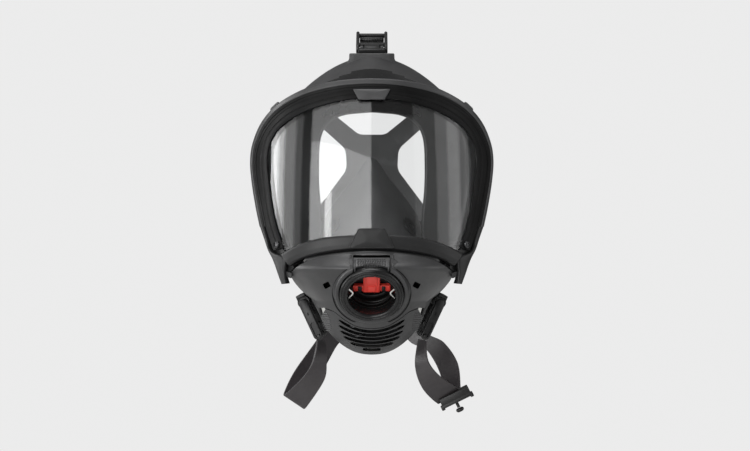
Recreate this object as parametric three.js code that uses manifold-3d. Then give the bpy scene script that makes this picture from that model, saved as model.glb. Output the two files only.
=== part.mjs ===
// Full face respirator for breathing apparatus, with its five-strap head harness.
// Millimetres. +X is to the viewer's right, +Y runs back towards the wearer, +Z is up.
// The origin is the centre of the face opening, on the plane of the face seal.
import * as THREE from 'three';
import { mergeVertices } from 'three/addons/utils/BufferGeometryUtils.js';
import Module from 'manifold-3d';

const wasm = await Module();
wasm.setup();

// ---- Driving dimensions -------------------------------------------------------------------------
const GAP = 0.35;
const VISOR_THICKNESS = 2.2;
const RUBBER = 3;
const COVER_THICKNESS = 2.2;
const PORT_CENTRE = [0, -91.5, -75.6];
const PORT_TILT = THREE.MathUtils.degToRad(35);
const COVER_SLOPE = 0.7;
const BORE_RADIUS = 18.4;
const RING_RADIUS = 25;
const TUBE_RADIUS = 20.8;
const TUBE_END = -28;
const PLATE_SETBACK = 10;
const STRAP_THICKNESS = 2;
const BUCKLE_WIDTH = 26;
const BUCKLE_LENGTH = 32;
const PIN_RADIUS = 1.5;
const CHEEK = 4;

// The upper frame from the top centre down the side to its lower end: each station has a point on
// its outer edge, one on its inner edge, and one on the inner edge of the gasket beside it.
const RAIL = [
  [[0, 95], [0, 85.8], [0, 82]],
  [[21, 94], [20, 84.9], [19, 81]],
  [[41, 90.8], [39, 81.6], [37, 77.4]],
  [[57.5, 85.4], [54.5, 77.2], [51.5, 72.6]],
  [[74.7, 75.6], [69.5, 69.5], [64.5, 65.6]],
  [[87, 62.4], [81, 59], [74.8, 56.4]],
  [[94.3, 46.1], [88.8, 45.3], [81, 45.4]],
  [[96.3, 31.8], [91.6, 31.8], [83, 33]],
  [[94.8, 15], [90, 15], [81.5, 15.5]],
  [[91, -6], [85.8, -6], [78.2, -7]],
  [[87.4, -21.5], [82.4, -21.5], [74.6, -21.5]],
];
// The gasket's rail runs on below the upper frame's end: outer edge, then inner edge.
const RAIL_END = [[[79.3, -31], [71.6, -30]], [[76, -40], [69.2, -37.6]]];
// The lower frame's bar from its centre to the corner: upper edge, then lower edge.
const LOWER_BAR = [
  [[0, -27.6], [0, -39]],
  [[16, -28], [16, -39.6]],
  [[33.6, -29.3], [32, -41.4]],
  [[47, -32], [46, -44.4]],
  [[60.8, -37.2], [56.5, -48.2]],
  [[70, -42.4], [63, -52]],
];
// The corner arm of the lower frame, from the upper frame's end down to its foot: outer, then inner edge.
const CORNER_ARM = [
  [[86.6, -21.9], [84, -21.9]],
  [[83.2, -31], [80.7, -31]],
  [[80, -40], [77.4, -40.8]],
  [[76.4, -49], [66.5, -46]],
  [[72.8, -58], [66.6, -57.4]],
  [[69.4, -66.4], [65.4, -66]],
];
// Outline of the chin covers from the top centre, round the side, to the bottom centre.
const COVER_SIDE = [[0, -40.2], [20, -41.6], [40, -44.8], [52, -49], [60.6, -54.6], [63.2, -60.2],
  [60.4, -66.6], [54, -73.2], [44.8, -80]];
const COVER_BOTTOM = [[42.4, -87], [40.4, -93.8], [35.4, -103.6], [28.5, -111.6], [20, -118.4],
  [11, -122.4], [0, -123.6]];
const SEAM = [[42.2, -85.4], [36.5, -85.4], [29, -88.2], [22, -93.6], [12, -99.2], [0, -101]];
// Outline of the plate behind the covers.
const PLATE_EDGE = [[0, -40], [16, -40.6], [32, -42.4], [46, -45.6], [55.4, -51.6], [55.6, -61],
  [50.4, -68.4], [41.4, -78.6], [37.6, -87], [35.6, -93.8], [31.2, -101.6], [25, -108], [17.6, -113.4],
  [9.6, -117], [0, -118]];
// Edge of the face opening, and the rearmost edge of the face blank round it.
const FACE_OPENING = [[0, 72.5], [24, 70.5], [38, 63], [44, 50], [45, 30], [45, 8], [46, -18], [46, -45],
  [40, -66], [24, -82], [0, -88]];
const REAR_RIM = [[0, 117], [22, 111], [44, 98], [64, 79], [79, 55], [84, 26], [80, -6], [70, -38],
  [55, -66], [33, -92], [0, -106]];

// ---- Shapes of the curved surfaces --------------------------------------------------------------
const mix = (a, b, t) => a + (b - a) * t;
const clamp01 = (t) => Math.min(1, Math.max(0, t));
const vec = (p) => new THREE.Vector3(...p);

// Depth of the visor's outer face: a tall bubble that wraps back at both sides.
function visorDepth(x, z) {
  const front = -83 + 0.1 * z + 0.0011 * z * z;
  const across = clamp01(Math.abs(x) / 102) ** 2.2;
  return front + 90 * (1 - Math.sqrt(1 - Math.min(across, 0.98)));
}

// Half the width of the chin covers at a height.
function coverHalfWidth(z) {
  if (z > -86) return mix(43, 64, clamp01((z + 80) / 24));
  return 40 * Math.sqrt(1 - clamp01((-86 - z) / 41) ** 2) + 3;
}

// Depth of the chin covers' outer face: it swells out over the port and falls back below it.
function coverDepth(x, z) {
  const rise = clamp01((-40 - z) / 14);
  const above = mix(-88.5, -101, rise * rise * (3 - 2 * rise));
  const below = -101 + COVER_SLOPE * (-54 - z) + 11 * clamp01((-98 - z) / 26) ** 2;
  const across = clamp01(Math.abs(x) / (coverHalfWidth(z) + 9)) ** 2;
  return (z > -54 ? above : below) + 58 * (1 - Math.sqrt(1 - Math.min(across, 0.9)));
}

// Depth of the rear rim: temples reach furthest back, the chin stays forward.
const rimDepth = (x, z) => 26 * (Math.abs(x) / 84) ** 1.5 - 2 - 16 * clamp01(-z / 106);

// ---- Helpers ------------------------------------------------------------------------------------
// A closed smooth loop through a right-hand half outline and its mirror image.
function mirroredLoop(half) {
  const left = half.slice(1, -1).reverse().map(([x, ...rest]) => [-x, ...rest]);
  return new THREE.CatmullRomCurve3([...half, ...left].map(vec), true, 'catmullrom', 0.5);
}

// An open smooth curve from the left end of a half outline, over its centre, to the right end.
function mirroredCurve(half) {
  const left = half.slice(1).reverse().map(([x, ...rest]) => [-x, ...rest]);
  return new THREE.CatmullRomCurve3([...left, ...half].map(vec), false, 'catmullrom', 0.5);
}

const smooth = (points) => new THREE.CatmullRomCurve3(points.map(vec), false, 'catmullrom', 0.5);
const onVisor = ([x, z]) => [x, visorDepth(x, z), z];
const onCover = ([x, z], back = 0) => [x, coverDepth(x, z) + back, z];

// A closed mesh from vertices and faces; faces that shrank to nothing are dropped.
function solidFrom(positions, faces) {
  const raw = new THREE.BufferGeometry();
  const numbers = positions.flatMap((p) => [p.x, p.y, p.z]);
  raw.setAttribute('position', new THREE.Float32BufferAttribute(numbers, 3));
  raw.setIndex(faces.flat());
  const merged = mergeVertices(raw, 1e-3);
  const index = merged.index.array;
  const kept = [];
  for (let i = 0; i < index.length; i += 3) {
    const [a, b, c] = [index[i], index[i + 1], index[i + 2]];
    if (a !== b && b !== c && a !== c) kept.push(a, b, c);
  }
  merged.setIndex(kept);
  return merged;
}

// A solid through a list of sections, each a list of points in the same order.
function loft(sections, ring = false) {
  const size = sections[0].length;
  const positions = sections.flat();
  const faces = [];
  const spans = ring ? sections.length : sections.length - 1;
  for (let i = 0; i < spans; i += 1) {
    const here = i * size;
    const next = ((i + 1) % sections.length) * size;
    for (let j = 0; j < size; j += 1) {
      const k = (j + 1) % size;
      faces.push([here + j, here + k, next + k], [here + j, next + k, next + j]);
    }
  }
  if (!ring) {
    const last = (sections.length - 1) * size;
    for (let j = 1; j < size - 1; j += 1) faces.push([0, j + 1, j], [last, last + j, last + j + 1]);
  }
  return outward(solidFrom(positions, faces));
}

// Turns every face over if the solid came out inside out.
function outward(geometry) {
  const p = geometry.attributes.position;
  const index = geometry.index.array;
  const [a, b, c] = [new THREE.Vector3(), new THREE.Vector3(), new THREE.Vector3()];
  let volume = 0;
  for (let i = 0; i < index.length; i += 3) {
    a.fromBufferAttribute(p, index[i]);
    b.fromBufferAttribute(p, index[i + 1]);
    c.fromBufferAttribute(p, index[i + 2]);
    volume += a.dot(b.cross(c));
  }
  if (volume < 0) {
    for (let i = 0; i < index.length; i += 3) [index[i], index[i + 1]] = [index[i + 1], index[i]];
  }
  return geometry;
}

// The unit normal of a surface point(u, v), by small steps either side.
function normalAt(point, u, v, ring) {
  const step = 0.004;
  if (v === 0 && vec(point(0, 0)).distanceTo(vec(point(0.5, 0))) < 1e-6) return poleNormal(point);
  const [v0, v1] = [Math.max(v - step, 0), Math.min(v + step, 1)];
  const [u0, u1] = ring ? [u - step, u + step] : [Math.max(u - step, 0), Math.min(u + step, 1)];
  const along = vec(point(u1, v)).sub(vec(point(u0, v)));
  const across = vec(point(u, v1)).sub(vec(point(u, v0)));
  return along.cross(across).normalize();
}

// Where a whole edge shrinks to one middle point, the normal comes from points round it.
function poleNormal(point) {
  const [north, east, south, west] = [0, 0.25, 0.5, 0.75].map((u) => vec(point(u, 0.02)));
  return west.sub(east).cross(north.sub(south)).normalize();
}

// A sheet of even thickness over a surface point(u, v); ring joins u = 1 to u = 0, and lift is
// how far the sheet's outer face stands off the surface.
function sheet(point, columns, rows, thickness, ring = false, lift = 0) {
  const sections = [];
  for (let i = 0; i < columns + (ring ? 0 : 1); i += 1) {
    const u = i / columns;
    const outer = [];
    const inner = [];
    for (let j = 0; j <= rows; j += 1) {
      const at = vec(point(u, j / rows));
      const away = normalAt(point, u, j / rows, ring);
      outer.push(at.clone().addScaledVector(away, lift));
      inner.unshift(at.addScaledVector(away, lift - thickness));
    }
    sections.push([...outer, ...inner]);
  }
  return stitched(sections, rows, ring);
}

// Joins the two-sided sections of a sheet; end caps are strips, so bent sections stay whole.
function stitched(sections, rows, ring) {
  const size = 2 * (rows + 1);
  const faces = [];
  const spans = ring ? sections.length : sections.length - 1;
  for (let i = 0; i < spans; i += 1) {
    const here = i * size;
    const next = ((i + 1) % sections.length) * size;
    for (let j = 0; j < size; j += 1) {
      const k = (j + 1) % size;
      faces.push([here + j, here + k, next + k], [here + j, next + k, next + j]);
    }
  }
  if (!ring) {
    const last = (sections.length - 1) * size;
    for (let j = 0; j < rows; j += 1) {
      const [a, b, c, d] = [j, j + 1, size - 2 - j, size - 1 - j];
      faces.push([a, c, b], [a, d, c], [last + a, last + b, last + c], [last + a, last + c, last + d]);
    }
  }
  return outward(solidFrom(sections.flat(), faces));
}

function toManifold(geometry) {
  const bare = geometry.clone();
  bare.deleteAttribute('normal');
  bare.deleteAttribute('uv');
  const merged = mergeVertices(bare, 1e-3);
  const mesh = new wasm.Mesh({
    numProp: 3,
    vertProperties: new Float32Array(merged.attributes.position.array),
    triVerts: new Uint32Array(merged.index.array),
  });
  return new wasm.Manifold(mesh);
}

function fromManifold(solid) {
  const { vertProperties, triVerts, numProp } = solid.getMesh();
  const geometry = new THREE.BufferGeometry();
  const position = new Float32Array((vertProperties.length / numProp) * 3);
  for (let i = 0; i < position.length; i += 1) {
    position[i] = vertProperties[Math.floor(i / 3) * numProp + (i % 3)];
  }
  geometry.setAttribute('position', new THREE.BufferAttribute(position, 3));
  geometry.setIndex(new THREE.BufferAttribute(new Uint32Array(triVerts), 1));
  return geometry;
}

function cut(body, ...tools) {
  return fromManifold(tools.reduce((solid, tool) => solid.subtract(toManifold(tool)), toManifold(body)));
}

function join(body, ...others) {
  return fromManifold(others.reduce((solid, other) => solid.add(toManifold(other)), toManifold(body)));
}

// A turned piece: profile points are [radius, distance along its own +Y].
function turned(profile, segments = 36) {
  const closes = profile[0][0] > 0;
  const points = [...profile, ...(closes ? [profile[0]] : [])].map(([r, y]) => new THREE.Vector2(r, y));
  const lathe = new THREE.LatheGeometry(points, segments);
  lathe.deleteAttribute('normal');
  lathe.deleteAttribute('uv');
  const { position } = lathe.attributes;
  const corner = (_, i) => new THREE.Vector3().fromBufferAttribute(position, i);
  const corners = Array.from({ length: position.count }, corner);
  return outward(solidFrom(corners, [...lathe.index.array]));
}

function box(low, high) {
  const size = high.map((h, i) => h - low[i]);
  const middle = high.map((h, i) => (h + low[i]) / 2);
  return new THREE.BoxGeometry(...size).translate(...middle);
}

function rod(radius, length, axis = 'y', segments = 20) {
  const geometry = new THREE.CylinderGeometry(radius, radius, length, segments);
  if (axis === 'x') geometry.rotateZ(Math.PI / 2);
  if (axis === 'z') geometry.rotateX(Math.PI / 2);
  return geometry;
}

// A round wire along a smooth curve.
function wire(curve, radius, steps, sides = 8) {
  const circle = new THREE.Shape().absarc(0, 0, radius, 0, 2 * Math.PI);
  return new THREE.ExtrudeGeometry(circle, { steps, extrudePath: curve, curveSegments: sides / 2 });
}

// ---- Materials and scene graph ------------------------------------------------------------------
const MATERIALS = {
  rubber: { color: 0x2e2f31, roughness: 0.75, metalness: 0 },
  frame: { color: 0x35373a, roughness: 0.5, metalness: 0 },
  cover: { color: 0x3d3f42, roughness: 0.55, metalness: 0 },
  black: { color: 0x161718, roughness: 0.45, metalness: 0 },
  clear: { color: 0xc8d0d4, roughness: 0.05, metalness: 0, transparent: true, opacity: 0.3 },
  ring: { color: 0x4b4d50, roughness: 0.35, metalness: 0.2 },
  red: { color: 0xc23228, roughness: 0.45, metalness: 0 },
  steel: { color: 0xb9bcbe, roughness: 0.3, metalness: 1 },
  silicone: { color: 0x4a4d52, roughness: 0.6, metalness: 0 },
  strap: { color: 0x3c3a3c, roughness: 0.7, metalness: 0 },
};

const respirator = new THREE.Group();

function add(name, geometry, finish, parent = respirator) {
  const mesh = new THREE.Mesh(geometry, new THREE.MeshStandardMaterial(MATERIALS[finish]));
  mesh.name = name;
  parent.add(mesh);
  return mesh;
}

// A group whose own +Y points along a direction and whose +X lies along another.
function placedGroup(origin, yAxis, xAxis = [1, 0, 0]) {
  const group = new THREE.Group();
  const y = vec(yAxis).normalize();
  const x = vec(xAxis).addScaledVector(y, -vec(xAxis).dot(y)).normalize();
  group.quaternion.setFromRotationMatrix(new THREE.Matrix4().makeBasis(x, y, x.clone().cross(y)));
  group.position.set(...origin);
  group.updateMatrix();
  respirator.add(group);
  return group;
}

// ---- Frame round the visor ----------------------------------------------------------------------
// A bar on the visor: s runs from the window's edge to the outer edge, h stands out of the surface.
function barSections(inner, outer, profile, steps) {
  return Array.from({ length: steps + 1 }, (_, i) => {
    const at = (s) => inner.getPoint(i / steps).lerp(outer.getPoint(i / steps), s);
    const surface = (s) => {
      const p = at(s);
      return vec(onVisor([p.x, p.y]));
    };
    const outwards = visorNormal(at(0.5).x, at(0.5).y);
    return profile.map(([s, h]) => surface(s).addScaledVector(outwards, h));
  });
}

function visorNormal(x, z) {
  const step = 0.5;
  const slopeX = (visorDepth(x + step, z) - visorDepth(x - step, z)) / (2 * step);
  const slopeZ = (visorDepth(x, z + step) - visorDepth(x, z - step)) / (2 * step);
  return new THREE.Vector3(slopeX, -1, slopeZ).normalize();
}

const flat = (pairs, side) => pairs.map((pair) => [...pair[side], 0]);
const FRAME_PROFILE = [[0.84, 3.6], [0.16, 3.6], [0, 2.6], [0, 1.9], [0.5, 1.9], [0.5, -5.6], [1, -5.6],
  [1, 2.4]];
const BAR_PROFILE = [[0.84, 3.6], [0.14, 3.6], [0, 2.4], [0, 0.5], [0.6, 0.5], [0.6, -5.6], [1, -5.6],
  [1, 2.4]];
const GASKET_PROFILE = [[0, 0.5], [0, 1.1], [0.25, 1.6], [1.1, 1.6], [1.1, 0.5]];

const railOuter = mirroredCurve(flat(RAIL, 0));
const railInner = mirroredCurve(flat(RAIL, 1));
const gasketOuter = mirroredCurve([...flat(RAIL, 1), ...flat(RAIL_END, 0)]);
const gasketInner = mirroredCurve([...flat(RAIL, 2), ...flat(RAIL_END, 1)]);
const barUpper = mirroredCurve(flat(LOWER_BAR, 0));
const barLower = mirroredCurve(flat(LOWER_BAR, 1));
const SCREW_AT = [73.4, -35.6];
const SIDES = [['left', -1], ['right', 1]];
const screwGroups = SIDES.map(([name, side]) => {
  const [x, z] = [side * SCREW_AT[0], SCREW_AT[1]];
  return { name, group: placedGroup(onVisor([x, z]), visorNormal(x, z).toArray()) };
});
const screwHoles = screwGroups.map(({ group }) => rod(1.9, 24, 'y', 16).applyMatrix4(group.matrix));

add('upper_frame', loft(barSections(railInner, railOuter, FRAME_PROFILE, 38)), 'frame');
const arms = [1, -1].map((side) => {
  const edge = (i) => smooth(CORNER_ARM.map((pair) => [side * pair[i][0], pair[i][1], 0]));
  return loft(barSections(edge(1), edge(0), BAR_PROFILE, 10));
});
add('lower_frame', join(loft(barSections(barUpper, barLower, BAR_PROFILE, 28)), ...arms), 'frame');
const gasket = loft(barSections(gasketInner, gasketOuter, GASKET_PROFILE, 42));
add('visor_gasket', cut(gasket, ...screwHoles), 'black');
for (const { name, group } of screwGroups) {
  const screw = [[0, -9], [1.5, -9], [1.5, 2], [2.7, 2], [2.7, 3.2], [2, 3.9], [0, 3.9]];
  const nut = [[1.85, -8.4], [3.2, -8.4], [3.2, -5.8], [1.85, -5.8]];
  add(`frame_screw_${name}`, turned(screw, 16), 'steel', group);
  add(`frame_nut_${name}`, turned(nut, 6), 'steel', group);
}

// ---- Visor --------------------------------------------------------------------------------------
const visorRail = RAIL.slice(0, 10).map(([, f, g]) => [mix(g[0], f[0], 0.75), mix(g[1], f[1], 0.75), 0]);
const visorLower = LOWER_BAR.slice(0, 5).reverse().map(([upper, lower]) => [mix(upper[0], lower[0], 0.45),
  mix(upper[1], lower[1], 0.45), 0]);
const visorCorner = [[77.6, -22, 0], [71, -35, 0], [66.4, -40.6, 0]];
const visorEdge = mirroredLoop([...visorRail, ...visorCorner, ...visorLower]);
const VISOR_MIDDLE = new THREE.Vector3(0, 22, 0);
const visorPoint = (u, v) => {
  const p = VISOR_MIDDLE.clone().lerp(visorEdge.getPoint(u), v);
  return onVisor([p.x, p.y]);
};
add('visor', sheet(visorPoint, 44, 4, VISOR_THICKNESS, true), 'clear');

// ---- Face blank: from the frame and the chin covers back to the face seal -----------------------
const inset = ([x, z], factor) => [x * factor, mix(-80, z, factor)];
const behindFrame = ([x, z], depth) => {
  const back = visorNormal(x, z).multiplyScalar(-depth);
  return [x + back.x, visorDepth(x, z) + back.y, z + back.z];
};
const gripRail = [...RAIL.map(([o, f]) => behindFrame([mix(f[0], o[0], 0.3), mix(f[1], o[1], 0.3)], 9.6)),
  behindFrame([78.4, -38], 9.6), behindFrame([72.4, -50], 9.6), behindFrame([67, -60], 9.6)];
const gripChin = [...COVER_SIDE.slice(6), ...COVER_BOTTOM].map((p) => {
  const [x, z] = inset(p, 0.94);
  return [x, coverDepth(x, z) + 15, z];
});
const gripLoop = mirroredLoop([...gripRail, ...gripChin]);
const gripCount = gripRail.length + gripChin.length - 1;

// The rim and opening outlines are spread over the same number of clock stations as the grip loop.
function spread(half, depth) {
  const curve = smooth(half.map(([x, z]) => [x, depth(x, z), z]));
  return mirroredLoop(Array.from({ length: gripCount + 1 }, (_, i) => {
    const share = i < gripRail.length ? (0.62 * i) / (gripRail.length - 1)
      : 0.62 + (0.38 * (i - gripRail.length + 1)) / gripChin.length;
    const p = curve.getPointAt(share);
    return [i === 0 || i === gripCount ? 0 : p.x, p.y, p.z];
  }));
}

const rimLoop = spread(REAR_RIM, rimDepth);
const openingLoop = spread(FACE_OPENING, (x, z) => rimDepth(x, z) - 14);
const blankPoint = (u, v) => {
  const [grip, rim, lip] = [gripLoop, rimLoop, openingLoop].map((loop) => loop.getPoint(u));
  const waist = grip.clone().lerp(rim, 0.55).add(new THREE.Vector3(0, -3, 0));
  const shoulder = rim.clone().lerp(lip, 0.12).add(new THREE.Vector3(0, 6, 0));
  const roll = rim.clone().lerp(lip, 0.5).add(new THREE.Vector3(0, 3, 0));
  const across = new THREE.CatmullRomCurve3([grip, waist, rim, shoulder, roll, lip], false, 'centripetal');
  return across.getPoint(v).toArray();
};
add('face_blank', sheet(blankPoint, 42, 9, -RUBBER, true), 'rubber');

// ---- Chin covers --------------------------------------------------------------------------------
const portAxis = [0, -Math.cos(PORT_TILT), -Math.sin(PORT_TILT)];
const port = placedGroup(PORT_CENTRE, portAxis);

const portTool = (geometry) => geometry.clone().applyMatrix4(port.matrix);
const coverLoop = mirroredLoop([...COVER_SIDE, ...SEAM].map(([x, z]) => [x, z, 0]));
const HOLE_RISE = 2;
const coverPoint = (u, v) => {
  const outer = coverLoop.getPoint(u);
  const [dx, dz] = [outer.x, (outer.y - PORT_CENTRE[2] - HOLE_RISE) / Math.cos(PORT_TILT)];
  const reach = (RING_RADIUS - 1.2) / Math.hypot(dx, dz);
  const innerZ = PORT_CENTRE[2] + HOLE_RISE + dz * reach * Math.cos(PORT_TILT);
  const p = new THREE.Vector3(dx * reach, innerZ, 0).lerp(outer, v);
  return onCover([p.x, p.y]);
};
const holeTool = portTool(rod(RING_RADIUS + GAP, 60, 'y', 40));
const latchWindow = box([-14.5, -130, -66], [14.5, -60, -43.2]);
const socketTools = [-1, 1].map((side) => {
  const tool = box([-2.2, -12, -1.7], [2.2, 12, 1.7]).rotateY(side * 0.5);
  return tool.translate(side * 34.9, coverDepth(34.9, -66.8), -66.8);
});
const coverShell = sheet(coverPoint, 40, 3, -COVER_THICKNESS, true);
const collarProfile = [[RING_RADIUS + GAP, -3], [28.6, -3], [29.2, -11], [RING_RADIUS + GAP, -11]];
const collar = cut(portTool(turned(collarProfile, 40)), latchWindow);
add('front_cover', join(cut(coverShell, holeTool, latchWindow, ...socketTools), collar), 'cover');

const latchPoint = (u, v) => {
  const x = mix(-14, 14, u);
  const lowest = PORT_CENTRE[2] + HOLE_RISE + 22.6 * Math.sqrt(1 - (x / 27) ** 2);
  return onCover([x, mix(-45.2, lowest + 0.8, v)], -0.4);
};
add('release_latch', sheet(latchPoint, 10, 4, 2.4), 'black');

// Six arched slots, shorter and flatter towards the bottom: [half width, end height, middle height].
const SLOTS = [[26, -94.6, -103.8], [26, -99.2, -106.9], [24.8, -103.8, -110], [22.4, -108.5, -113.2],
  [17.1, -113.6, -116.2], [7.2, -119, -119.2]];
const SLOT_HALF = 1.15;
const seamCurve = mirroredCurve(SEAM.slice(1).reverse().map(([x, z]) => [x, z - 0.7, 0]));
const bottomCurve = mirroredCurve([...COVER_BOTTOM].slice(1).reverse().map(([x, z]) => [x, z, 0]));
const exhalationPoint = (u, v) => {
  const p = seamCurve.getPoint(u).lerp(bottomCurve.getPoint(u), v);
  return onCover([p.x, p.y]);
};
const slotTools = SLOTS.map(([half, end, middle]) => loft(Array.from({ length: 7 }, (_, i) => {
  const x = mix(-half, half, i / 6);
  const z = mix(middle, end, (x / half) ** 2);
  return [[-95, -1], [-95, 1], [-5, 1], [-5, -1]].map(([y, s]) => vec([x, y, z + s * SLOT_HALF]));
})));
add('exhalation_cover', cut(sheet(exhalationPoint, 22, 3, COVER_THICKNESS), ...slotTools), 'cover');

// ---- Connector housing, clamp and port ----------------------------------------------------------
const plateLoop = mirroredLoop(PLATE_EDGE.map(([x, z]) => [x, z, 0]));
const platePoint = (u, v) => {
  const p = new THREE.Vector3(0, -80, 0).lerp(plateLoop.getPoint(u), v);
  return onCover([p.x, p.y], PLATE_SETBACK);
};
const plate = sheet(platePoint, 30, 3, 2.4, true);

const EXHALATION = [-13.2, -54.6, -101.6];
const DIAPHRAGM = [13.2, -54.6, -101.6];
const VALVE_AXIS = [0, -0.8, -0.6];
const exhalation = placedGroup(EXHALATION, VALVE_AXIS);
const diaphragm = placedGroup(DIAPHRAGM, VALVE_AXIS);
const valveHoles = [exhalation, diaphragm]
  .map((group) => rod(11.2, 16, 'y', 18).applyMatrix4(group.matrix));
const tubeProfile = [[BORE_RADIUS - 0.2, -10.5], [TUBE_RADIUS, -10.5], [TUBE_RADIUS, TUBE_END],
  [BORE_RADIUS - 0.2, TUBE_END]];
const tube = turned(tubeProfile, 24);
const tubeHole = portTool(rod(TUBE_RADIUS - 0.8, 70, 'y', 24));
add('connector_housing', join(cut(plate, tubeHole, ...valveHoles), portTool(tube)), 'black');

const clampLine = [...COVER_SIDE.slice(4), ...COVER_BOTTOM].reverse();
const clampPath = mirroredCurve(clampLine.map(([x, z]) => [x, z, 0]));
const clampSections = Array.from({ length: 27 }, (_, i) => {
  const p = clampPath.getPoint(i / 26);
  const at = (factor, back) => vec(onCover(inset([p.x, p.y], factor), back));
  return [at(0.93, 3.6), at(0.93, 7.4), at(0.87, 7.4), at(0.87, 3.6)];
});
add('connector_clamp', loft(clampSections), 'steel');

const ringProfile = [[BORE_RADIUS, -10], [BORE_RADIUS, -1.4], [BORE_RADIUS + 1, 0], [22.3, 0],
  [RING_RADIUS, -2.4], [RING_RADIUS, -6.6], [21.6, -7.2], [21.6, -10]];
const wireSlots = [-1, 1].map((side) => box([Math.min(side * 17, side * 23.4), -6.4, -6.8],
  [Math.max(side * 17, side * 23.4), -3.4, 6.8]));
add('port_ring', cut(turned(ringProfile, 32), ...wireSlots), 'ring', port);
const seal = new THREE.TorusGeometry(16.6, 0.9, 6, 24).rotateX(Math.PI / 2).translate(0, -12.5, 0);
add('port_seal', seal, 'black', port);
for (const [name, side] of SIDES) {
  const bend = smooth([[side * 19, -4.9, -5.6], [side * 16.6, -4.9, -2.9], [side * 14.6, -4.9, 0],
    [side * 16.6, -4.9, 2.9], [side * 19, -4.9, 5.6]]);
  add(`retaining_wire_${name}`, wire(bend, 0.75, 8, 6), 'steel', port);
}

const carrierRing = turned([[17.3, -26], [17.3, -21], [14.6, -21], [14.6, -26]]);
const spokes = [box([-16, -25.4, -1.6], [16, -21.6, 1.6]), box([-1.6, -25.4, -16], [1.6, -21.6, 16])];
const hub = box([-6.4, -25.6, -6.4], [6.4, -18, 6.4]);
add('inhalation_valve_carrier', join(carrierRing, ...spokes, hub), 'red', port);
const inhalationDisc = [[0, -27.2], [15.8, -27.2], [15.8, -26.4], [0, -26.4]];
add('inhalation_valve_disc', turned(inhalationDisc, 32), 'silicone', port);

// ---- Exhalation valve and speech diaphragm ------------------------------------------------------
const seatProfile = [[10.8, -2], [10.8, 0.6], [8.2, 0.6], [7.2, 1.4], [6.4, 1.4], [6.4, -2]];
const exhalationDisc = [[0, 1.9], [9.2, 1.9], [9.2, 2.7], [0, 2.7]];
add('exhalation_valve_seat', turned(seatProfile, 20), 'black', exhalation);
add('exhalation_valve_disc', turned(exhalationDisc, 20), 'silicone', exhalation);
const TURNS = 2.5;
const coil = smooth(Array.from({ length: 21 }, (_, i) => {
  const angle = (i / 20) * TURNS * 2 * Math.PI;
  const radius = mix(6.6, 4.2, i / 20);
  return [radius * Math.cos(angle), mix(3.3, 4.7, i / 20), radius * Math.sin(angle)];
}));
add('exhalation_spring', wire(coil, 0.3, 36, 4), 'steel', exhalation);
const holderProfile = [[10.8, -2], [10.8, 1.6], [8.6, 1.6], [8.6, -0.4], [8, -0.4], [8, -2]];
add('diaphragm_ring', turned(holderProfile, 20), 'ring', diaphragm);
add('speech_diaphragm', turned([[0, 0], [8.2, 0], [8.2, 0.5], [0, 0.5]], 20), 'steel', diaphragm);

// ---- Nose cup with its two check valves ---------------------------------------------------------
const CUP_FACE = [[0, 33], [13, 17], [27, 0], [37, -16], [40.5, -36], [36, -56], [20, -72], [0, -78]];
const cupDepth = (x, z) => -14 + 14 * (Math.abs(x) / 40) - 10 * clamp01(z / 33);
const cupFace = mirroredLoop(CUP_FACE.map(([x, z]) => [x, cupDepth(x, z), z]));
const cupPoint = (u, v) => {
  const face = cupFace.getPoint(u);
  const angle = Math.PI / 2 - u * 2 * Math.PI;
  const local = new THREE.Vector3(20.5 * Math.cos(angle), TUBE_END - 5.5, 3 - 20.5 * Math.sin(angle));
  const neck = local.applyMatrix4(port.matrix);
  const belly = neck.clone().lerp(face, 0.6).add(new THREE.Vector3(face.x * 0.1, -5, 0));
  return new THREE.CatmullRomCurve3([neck, belly, face], false, 'centripetal').getPoint(v).toArray();
};
const CUP_RUBBER = 1.8;
const cup = sheet(cupPoint, 28, 4, -CUP_RUBBER, true);
const checkValves = [['left', 0.835], ['right', 0.165]].map(([name, u]) => {
  const at = vec(cupPoint(u, 0.52));
  const away = normalAt(cupPoint, u, 0.52, true);
  if (away.y > 0) away.negate();
  return { name, group: placedGroup(at.toArray(), away.toArray(), [0, 0, 1]) };
});
const checkHoles = checkValves.map(({ group }) => rod(6.5, 12, 'y', 16).applyMatrix4(group.matrix));
add('nose_cup', cut(cup, ...checkHoles), 'silicone');
for (const { name, group } of checkValves) {
  const seat = [[3.4, -2.2], [6, -2.2], [6, 2.2], [8, 2.2], [8, 3.4], [3.4, 3.4]];
  add(`check_valve_seat_${name}`, turned(seat, 16), 'black', group);
  const disc = [[0, -3.4], [5.6, -3.4], [5.6, -2.6], [0, -2.6]];
  add(`check_valve_disc_${name}`, turned(disc, 16), 'silicone', group);
}

// ---- Head plate and straps ----------------------------------------------------------------------
const plateDepth = (x, z) => 106 - (x * x) / 150 - ((z - 40) * (z - 40)) / 260;
const PLATE_OUTLINE = [[10, 94], [24, 92], [42, 89.5], [54, 84], [60, 70], [48, 69], [23, 47], [22, 29],
  [46, -4], [47, -14], [33, -21], [14, 4]];
const TOP_CUTOUT = [[11.5, 59.7], [33, 76.5], [18, 81.5]];
const both = (half) => [...half, ...half.map(([x, z]) => [-x, z]).reverse()];
const headShape = new THREE.Shape(both(PLATE_OUTLINE).map(([x, z]) => new THREE.Vector2(x, z)));
headShape.holes.push(new THREE.Path(both(TOP_CUTOUT).map(([x, z]) => new THREE.Vector2(x, z))));
const headPlate = new THREE.ExtrudeGeometry(headShape, { depth: 2.4, bevelEnabled: false, steps: 1 });
const headVertices = headPlate.attributes.position;
for (let i = 0; i < headVertices.count; i += 1) {
  const [x, z, lift] = [headVertices.getX(i), headVertices.getY(i), headVertices.getZ(i)];
  headVertices.setXYZ(i, x, plateDepth(x, z) + lift, z);
}
headPlate.deleteAttribute('normal');
headPlate.deleteAttribute('uv');
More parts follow.
